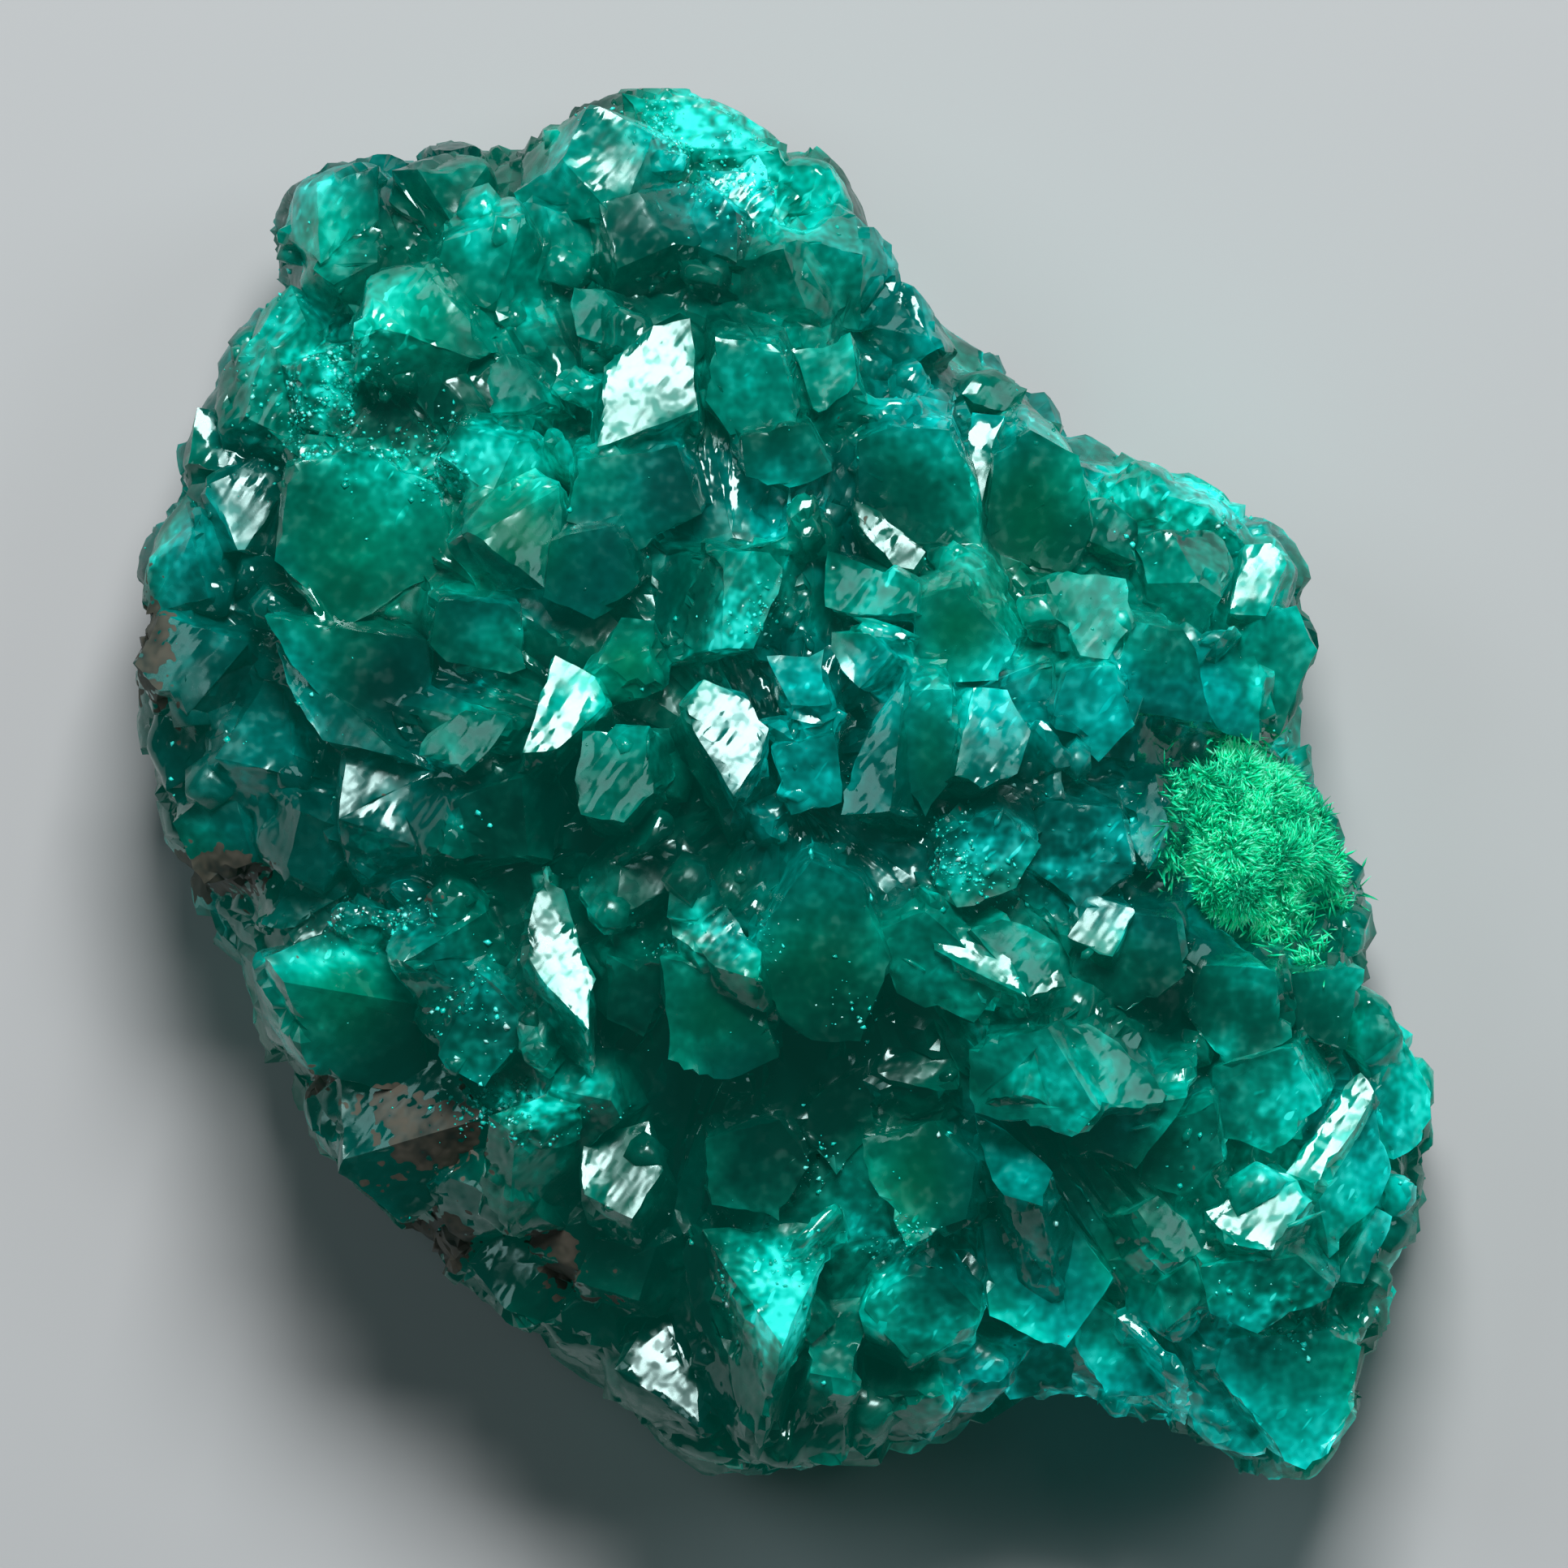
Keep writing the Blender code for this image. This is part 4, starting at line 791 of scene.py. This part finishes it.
def write_places(mesh, points, out, crust):
    """The masks that the crystal finish reads, one number for each corner. The lightness adds
    clouds of several sizes, the painted glows and painted shade by the height among the
    neighbours, and takes from it painted shade in the hollows. The flanks get painted light of
    their own, because light comes through them. It also gets painted light and shade from the
    broad spots and grows lighter towards +x as painted light from the right."""
    upward = smoothstep(-0.2, 0.35, out[:, 2]) * smoothstep(3.0, 8.0, points[:, 2])
    height = 1.0 - smoothstep(0.0, 5.0, cover_over(crust, points) - points[:, 2])
    clouds = rough_noise(points, CLOUD, 101)
    veils = 1.0 - smoothstep(0.0, 0.10, np.abs(rough_noise(points, VEIL, 113)))
    broad = rough_noise(points, BROAD_CLOUD, 131, 2)
    clear = spots(points, GREENS) * upward
    lightness = 0.30 + clouds * (0.58 - 0.3 * np.minimum(clear, 1.0)) + broad * 0.12
    # painted shade: darker where a place lies deep under the cover of its neighbours
    lightness += (height - 0.5) * 0.24 * upward
    lightness += veils * smoothstep(-0.1, 0.2, clouds) * 0.13
    # painted glow on the glow spots and painted shade in the hollows, on upward parts
    lightness += upward * (spots(points, PAINTED_GLOWS) * 0.46 - spots(points, PAINTED_HOLLOW_SHADE) * 0.2)
    # painted light on the flanks, for light that comes through them
    lightness += (1.0 - upward) * 0.17 * smoothstep(0.0, 8.0, points[:, 2])
    # painted light: lighter towards +x, as if lit more from the right, and broad painted light and
    # shade from the spots
    lightness += 0.005 * points[:, 0] + spots(points, PAINTED_LIGHT_AND_SHADE)
    write_attribute(mesh, "lightness", lightness)
    write_attribute(mesh, "green", clear)
    write_attribute(mesh, "hue", 0.75 * smoothstep(
        0.0, 0.22, rough_noise(points, HUE_CLOUD, 151, 3)))
    skin = spots(points, BROWNS)
    skin += 0.3 * smoothstep(2.5, 0.5, points[:, 2]) * (1.0 - upward)
    write_attribute(mesh, "brown", skin + clouds * np.clip(skin * 2.0, 0.0, 0.6))
    frost = spots(points, FROSTS) * upward
    write_attribute(mesh, "frost", frost)
    dull = smoothstep(0.02, 0.2, rough_noise(points, DULL_PATCH, 211, 2))
    write_attribute(mesh, "roughness", 0.07 + 0.1 * np.minimum(frost, 1.0) + 0.18 * dull
                    + 0.36 * (1.0 - upward))


def crystal_material(settings):
    """The one finish that the crust, the small crystals and the chips share."""
    return bpy.data.materials.get(CRYSTAL_FINISH) or crystal_finish(settings)


class SPECIMEN_OT_crust(bpy.types.Operator):
    """Dresses the grown-together crystals with a fine crust"""

    bl_idname = "specimen.crust"
    bl_label = "Dioptase crust"

    def execute(self, context):
        settings = context.scene.dioptase
        points, faces, facet, end_share = crust_surface(settings)
        mesh = write_mesh(CRUST, points, faces)
        mesh.shade_smooth()
        mesh.set_sharp_from_angle(angle=math.radians(30.0))
        write_places(mesh, points, corner_normals(points, faces), points)
        write_attribute(mesh, "flat_end", end_share)
        write_attribute(mesh, "tone", hashed(np.column_stack([facet] * 3), 3), "FACE")
        placed(mesh, CRYSTAL_SLOT, crystal_material(settings), CLUSTER)
        return {"FINISHED"}


def ring(turns, reach, level):
    """Corners round the Z axis, at angles in radians."""
    return np.column_stack([reach * np.cos(turns), reach * np.sin(turns), level + 0.0 * turns])


def walls(count, low, high):
    """Triangles between two rings of corners, which are numbered from low and from high."""
    return [face for side in range(count) for face in (
        [low + side, low + (side + 1) % count, high + (side + 1) % count],
        [low + side, high + (side + 1) % count, high + side])]


def fan(count, start, apex):
    """Triangles from a ring of corners, numbered from start, up to one corner."""
    return [[start + side, start + (side + 1) % count, apex] for side in range(count)]


def habit():
    """A small dioptase crystal with unit width: a six-sided prism from z = -1 that ends in three
    rhombs. With the apex at z = 0, a face falls by tan(51 degrees) times the distance along its
    own line of fall, which is half a radius at the high corners and a radius at the low ones."""
    turns = np.arange(6) * math.pi / 3.0
    drop = np.where(np.arange(6) % 2 == 0, 0.5, 0.25) * math.tan(math.radians(51.0))
    points = np.vstack([ring(turns, 0.5, -1.0), ring(turns, 0.5, -drop),
                        [[0.0, 0.0, 0.0], [0.0, 0.0, -1.0]]])
    under = [face[::-1] for face in fan(6, 0, 13)]
    return points, np.array(walls(6, 0, 6) + fan(6, 6, 12) + under)


def turned_to(axes, twists):
    """Frames whose third column is each axis: the first is across it, turned by each twist."""
    helper = np.where(np.abs(axes[:, 2:]) < 0.9, [[0.0, 0.0, 1.0]], [[1.0, 0.0, 0.0]])
    side = unit(np.cross(helper, axes))
    other = np.cross(axes, side)
    first = np.cos(twists)[:, None] * side + np.sin(twists)[:, None] * other
    second = np.cross(axes, first)
    return np.stack([first, second, axes], axis=2)


def repeated(shape_points, shape_faces, places, frames, scales):
    """Copies of one shape as a single pair of arrays: frame times scaled corner, plus place."""
    scaled = shape_points[None, :, :] * scales[:, None, :]
    points = np.einsum("nij,nkj->nki", frames, scaled) + places[:, None, :]
    offsets = np.arange(len(places))[:, None, None] * len(shape_points)
    faces = shape_faces[None, :, :] + offsets
    return points.reshape(-1, 3), faces.reshape(-1, 3)


def scattered(points, faces, weights, count):
    """Random places on a surface: triangles drawn by area times weight, and in each a point
    from two even shares folded into the triangle. Returns places and normals."""
    normals = face_normals(points, faces)
    chance = np.linalg.norm(normals, axis=1) * weights
    picked = RANDOM.choice(len(faces), count, p=chance / chance.sum())
    shares = np.array([RANDOM.random(count), RANDOM.random(count)])[:, :, None]
    shares = np.where(shares[0] + shares[1] > 1.0, 1.0 - shares, shares)
    corner = points[faces[picked]]
    places = (corner[:, 0] + shares[0] * (corner[:, 1] - corner[:, 0])
              + shares[1] * (corner[:, 2] - corner[:, 0]))
    return places, unit(normals[picked])


def niche_distance(points):
    """Distance from the tuft's middle, seen from above."""
    middle = np.mean(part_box(TUFT), axis=0) / MM
    return np.hypot(points[:, 0] - middle[0], points[:, 1] - middle[1])


def crust_triangles():
    """The crust's corners and corner numbers, and the middle and normal of each triangle."""
    points, faces = mesh_arrays(bpy.data.objects[CRUST].data)
    return points, faces, points[faces].mean(axis=1), unit(face_normals(points, faces))


def place_crystals(name, settings, copies, axes, crust, flat_end):
    """A piece of many copies in the crystals' finish, each with its own tone."""
    points, faces = kept_in_box(copies[0]), copies[1]
    each = len(points) // len(axes)
    mesh = write_mesh(name, points, faces)
    write_places(mesh, points, np.repeat(axes, each, axis=0), crust)
    write_attribute(mesh, "tone", np.repeat(RANDOM.random(len(axes)), each))
    write_attribute(mesh, "flat_end", np.full(len(points), flat_end))
    placed(mesh, CRYSTAL_SLOT, crystal_material(settings))


def top_of(crust, place):
    """Level of the crust at a place seen from above: the highest of its five nearest corners."""
    away = np.hypot(crust[:, 0] - place[0], crust[:, 1] - place[1])
    return crust[np.argpartition(away, 5)[:5], 2].max()


class SPECIMEN_OT_small_crystals(bpy.types.Operator):
    """Grows small crystals in the gaps between the large ones"""

    bl_idname = "specimen.small_crystals"
    bl_label = "Small crystals"

    def execute(self, context):
        settings = context.scene.dioptase
        points, faces, middles, facing = crust_triangles()
        flat = np.empty(len(points))
        attribute = bpy.data.objects[CRUST].data.attributes["flat_end"]
        attribute.data.foreach_get("value", flat)
        on_end = flat[faces].mean(axis=1)
        deep = smoothstep(0.5, 4.0, cover_over(points, middles) - middles[:, 2])
        weights = (1.0 - on_end) ** 2 * (0.15 + deep)
        weights *= smoothstep(5.0, 9.0, middles[:, 2]) * smoothstep(-0.1, 0.3, facing[:, 2])
        weights *= niche_distance(middles) > CRYSTAL_CLEARANCE
        count = settings.small_count
        places, normals = scattered(points, faces, weights, count)
        widths = 0.7 + 1.7 * RANDOM.random(count) ** 1.6
        axes = unit(normals + (RANDOM.normal(0.0, 0.35, (count, 3)) + [0.0, 0.0, 0.8]))
        frames = turned_to(axes, RANDOM.uniform(0.0, math.tau, count))
        rises = widths * RANDOM.uniform(0.05, 0.38, count)
        scales = np.column_stack([widths, widths * RANDOM.uniform(0.7, 1.0, count), widths])
        copies = repeated(*habit(), places + axes * rises[:, None], frames, scales)
        place_crystals("dioptase_small_crystals", settings, copies, axes, points, 0.8)
        return {"FINISHED"}


class SPECIMEN_OT_chips(bpy.types.Operator):
    """Sets the bright chips that throw the light back"""

    bl_idname = "specimen.chips"
    bl_label = "Bright chips"

    def execute(self, context):
        settings = context.scene.dioptase
        points, faces, middles, facing = crust_triangles()
        named = np.array(GLINTS)
        tops = np.array([top_of(points, place) for place in named[:, :2]])
        weights = 0.05 + spots(middles, FROSTS) + 0.4 * spots(middles, PAINTED_GLOWS)
        weights *= np.clip(rough_noise(middles, 2.4, 171, 2), 0.0, 1.0) ** 1.5
        weights *= (facing[:, 2] > 0.2) * (middles[:, 2] > 7.0)
        weights *= niche_distance(middles) > TUFT_CLEARANCE
        many = settings.chip_count
        strewn, _ = scattered(points, faces, weights, many)
        places = np.vstack([np.column_stack([named[:, :2], tops + 0.04]), strewn])
        count = len(places)
        drawn = [0.12 + 0.38 * RANDOM.random(many) ** 2.0, 0.07 + 0.16 * RANDOM.random(many),
                 RANDOM.uniform(0.0, 360.0, many)]
        lengths, widths, bearings = np.hstack([named[:, 2:].T, drawn])
        loose = np.repeat([0.03, 0.16], [len(named), many])
        halfway = direction(KEY_BEARING, 0.5 * KEY_LEAN)
        axes = unit(halfway + loose[:, None] * RANDOM.normal(0.0, 1.0, (count, 3)))
        frames = turned_to(axes, np.radians(bearings + 90.0))
        top = ring(np.radians([5.0, 62.0, 118.0, 176.0, 245.0, 305.0]),
                   np.array([0.52, 0.44, 0.5, 0.48, 0.5, 0.42]), 0.0)
        foot = top * [1.1, 1.1, 1.0] - [0.0, 0.0, 1.0]
        sides = walls(6, 6, 0)
        sides += [[0, side, side + 1] for side in range(1, 5)]
        sides += [[6, side + 7, side + 6] for side in range(1, 5)]
        scales = np.column_stack([lengths, widths, np.full(count, 0.3)])
        copies = repeated(np.vstack([top, foot]), np.array(sides), places, frames, scales)
        place_crystals("dioptase_chips", settings, copies, axes, points, 0.9)
        return {"FINISHED"}


class SPECIMEN_OT_grains(bpy.types.Operator):
    """Strews frosty grains over the broken places"""

    bl_idname = "specimen.grains"
    bl_label = "Frosty grains"

    def execute(self, context):
        settings = context.scene.dioptase
        points, faces, middles, facing = crust_triangles()
        weights = spots(middles, FROSTS) ** 1.5 + 0.003
        weights *= np.clip(rough_noise(middles, 1.6, 191, 3) + 0.1, 0.0, 1.0) ** 1.5
        weights *= (facing[:, 2] > 0.1) * (middles[:, 2] > 5.0)
        weights *= niche_distance(middles) > TUFT_CLEARANCE
        count = settings.grain_count
        places, outward = scattered(points, faces, weights, count)
        corners = np.array([[0.5, 0.0, 0.0], [-0.5, 0.1, 0.0], [0.0, 0.5, 0.1],
                            [0.0, -0.5, 0.0], [0.05, 0.0, 0.35], [0.0, 0.0, -0.4]])
        sides = np.array([[0, 2, 4], [2, 1, 4], [1, 3, 4], [3, 0, 4],
                          [2, 0, 5], [1, 2, 5], [3, 1, 5], [0, 3, 5]])
        axes = unit(outward + RANDOM.normal(0.0, 0.5, (count, 3)))
        frames = turned_to(axes, RANDOM.uniform(0.0, math.tau, count))
        widths = 0.07 + 0.26 * RANDOM.random((count, 1)) ** 3.0
        scales = widths * RANDOM.uniform(0.5, 1.4, (count, 3))
        made, made_faces = repeated(corners, sides, places, frames, scales)
        mesh = write_mesh("dioptase_grains", kept_in_box(made), made_faces)
        write_attribute(mesh, "tone", np.repeat(RANDOM.random(count), len(corners)))
        placed(mesh, CRYSTAL_SLOT, grain_finish(settings))
        return {"FINISHED"}


def tuft_surface():
    """The tuft's own solid made fine and softened."""
    work = solid_of(TUFT)
    bmesh.ops.subdivide_edges(work, edges=work.edges, cuts=3, use_grid_fill=True)
    bmesh.ops.triangulate(work, faces=work.faces)
    points, faces = arrays_of(work)
    return smoothed(points, faces, np.full(len(points), 0.5)), faces


class SPECIMEN_OT_felt(bpy.types.Operator):
    """Grows the malachite needles on a rounded core"""

    bl_idname = "specimen.felt"
    bl_label = "Malachite felt"

    def execute(self, context):
        settings = context.scene.malachite
        points, faces = tuft_surface()
        out = corner_normals(points, faces)
        lumps = rough_noise(points, 1.3, 41)
        core = points + out * (lumps * 1.5 - 0.25)[:, None]
        mesh = write_mesh("malachite_core", core, faces)
        mesh.shade_smooth()
        # painted shade: the core under the needles stays dark
        write_attribute(mesh, "share", 0.05 + 0.4 * np.clip(lumps + 0.3, 0.0, 1.0))
        placed(mesh, FELT_SLOT, felt_finish(settings, "malachite_core"), TUFT)

        weights = smoothstep(-0.35, 0.25, unit(face_normals(core, faces))[:, 2])
        places, outward = scattered(core, faces, weights, settings.needle_count)
        crust, crust_faces, ground, facing = crust_triangles()
        beside = spots(ground, TRAILS) * (facing[:, 2] > 0.0) * (ground[:, 2] > 5.0)
        loose, loose_outward = scattered(crust, crust_faces, beside, settings.loose_count)
        places = np.vstack([places, loose])
        outward = np.vstack([outward, loose_outward])
        count = len(places)
        clumps = np.stack([soft_noise(places, 0.7, 60 + axis) - 0.5 for axis in range(3)], axis=1)
        axes = unit(outward * 0.8 + clumps * 3.4 + RANDOM.normal(0.0, 0.55, (count, 3)))
        frames = turned_to(axes, RANDOM.uniform(0.0, math.tau, count))
        lengths = settings.needle_length * RANDOM.uniform(0.45, 1.35, count)
        widths = RANDOM.uniform(0.028, 0.07, count)
        scales = np.column_stack([widths, widths, lengths])
        turns = np.arange(3) * math.tau / 3.0
        shape = np.vstack([ring(turns, 1.0, -0.1), ring(turns, 0.8, 0.7), [[0.0, 0.0, 1.0]]])
        sides = np.array(walls(3, 0, 3) + fan(3, 3, 6) + [[2, 1, 0]])
        made, made_faces = repeated(shape, sides, places, frames, scales)
        mesh = write_mesh("malachite_needles", kept_in_box(made), made_faces)
        # painted shade at each needle's root, rising to its tip, where the palest needles get the
        # painted highlight
        along = np.tile([0.0, 0.0, 0.0, 0.75, 0.75, 0.75, 1.1], count)
        patch = 0.75 + 1.1 * rough_noise(places, 1.5, 221, 3) + RANDOM.normal(0.0, 0.28, count)
        write_attribute(mesh, "share", along * np.repeat(np.clip(patch, 0.05, 1.3), 7))
        placed(mesh, FELT_SLOT, felt_finish(settings, "malachite_needles"))
        return {"FINISHED"}


def direction(bearing, off_vertical):
    """The unit vector at a bearing and an angle from straight up, both in degrees."""
    around = math.radians(bearing)
    lean = math.radians(off_vertical)
    return np.array([math.sin(lean) * math.cos(around), math.sin(lean) * math.sin(around),
                     math.cos(lean)])


def area_light(name, bearing, off_vertical, distance, width, radiance, colour=(1.0, 1.0, 1.0)):
    """A square soft light aimed at the specimen's middle. A flat lamp gives out its power over
    pi times its area as radiance."""
    towards = Vector(direction(bearing, off_vertical))
    data = bpy.data.lights.new(name, "AREA")
    data.shape = "SQUARE"
    data.size = width * MM
    data.energy = radiance * math.pi * (width * MM) ** 2
    data.color = colour
    lamp = linked(name, data)
    lamp.location = towards * distance * MM + Vector((0.0, 0.0, VIEW_LEVEL * MM))
    lamp.rotation_euler = towards.to_track_quat("Z", "Y").to_euler()


def floor_finish():
    """Pale matt card."""
    return Finish("floor_card").made({
        "Base Color": (0.53, 0.54, 0.55, 1.0), "Roughness": 0.8, "Specular IOR Level": 0.2})


class SPECIMEN_OT_stage(bpy.types.Operator):
    """Sets the pale floor, the soft lights and the camera"""

    bl_idname = "specimen.stage"
    bl_label = "Stage"

    def execute(self, context):
        scene = context.scene
        corners = FLOOR_REACH * np.array([[-1.0, -1.0, 0.0], [1.0, -1.0, 0.0],
                                          [1.0, 1.0, 0.0], [-1.0, 1.0, 0.0]])
        mesh = write_mesh("floor", corners, np.array([[0, 1, 2], [0, 2, 3]]))
        mesh.materials.append(floor_finish())
        floor = linked("floor", mesh)

        area_light("key_softbox", KEY_BEARING, KEY_LEAN, KEY_DISTANCE, KEY_WIDTH, KEY_RADIANCE)
        for name, bearing, lean, radiance in (("left_panel", 155.0, 36.0, 2.3),
                                              ("right_panel", 25.0, 38.0, 2.4)):
            area_light(name, bearing, lean, PANEL_DISTANCE, PANEL_WIDTH, radiance, PANEL_COLOUR)

        world = bpy.data.worlds.new("studio")
        world.use_nodes = True
        background = world.node_tree.nodes["Background"]
        background.inputs["Color"].default_value = (0.75, 0.96, 1.0, 1.0)
        background.inputs["Strength"].default_value = 0.03
        scene.world = world

        data = bpy.data.cameras.new("camera")
        data.sensor_width = 36.0
        data.lens = data.sensor_width * (CAMERA_HEIGHT - VIEW_LEVEL) / VIEW_WIDTH
        data.clip_start = 0.05
        data.clip_end = 20.0
        camera = linked("camera", data)
        camera.location = (0.0, 0.0, CAMERA_HEIGHT * MM)
        scene.camera = camera
        scene.view_settings.view_transform = "Standard"
        scene.cycles.max_bounces = 4
        scene.cycles.diffuse_bounces = 2
        scene.cycles.glossy_bounces = 2
        scene.cycles.transmission_bounces = 3
        scene.cycles.caustics_reflective = False
        scene.cycles.caustics_refractive = False
        return {"FINISHED"}


class SPECIMEN_PT_panel(bpy.types.Panel):
    """Lists the pieces of the specimen"""

    bl_idname = "SPECIMEN_PT_panel"
    bl_label = "Dioptase specimen"
    bl_space_type = "VIEW_3D"
    bl_region_type = "UI"
    bl_category = "Specimen"

    def draw(self, context):
        for operator in OPERATORS:
            self.layout.operator(operator.bl_idname)


OPERATORS = [SPECIMEN_OT_stage, SPECIMEN_OT_crust, SPECIMEN_OT_small_crystals,
             SPECIMEN_OT_chips, SPECIMEN_OT_grains, SPECIMEN_OT_felt]
CLASSES = [CrystalSettings, FeltSettings, *OPERATORS, SPECIMEN_PT_panel]


def register():
    for item in CLASSES:
        bpy.utils.register_class(item)
    bpy.types.Scene.dioptase = PointerProperty(type=CrystalSettings)
    bpy.types.Scene.malachite = PointerProperty(type=FeltSettings)


def unregister():
    del bpy.types.Scene.malachite
    del bpy.types.Scene.dioptase
    for item in reversed(CLASSES):
        bpy.utils.unregister_class(item)


def main():
    register()
    bpy.ops.specimen.stage()
    bpy.ops.specimen.crust()
    bpy.ops.specimen.small_crystals()
    bpy.ops.specimen.chips()
    bpy.ops.specimen.grains()
    bpy.ops.specimen.felt()


if __name__ == "__main__":
    main()
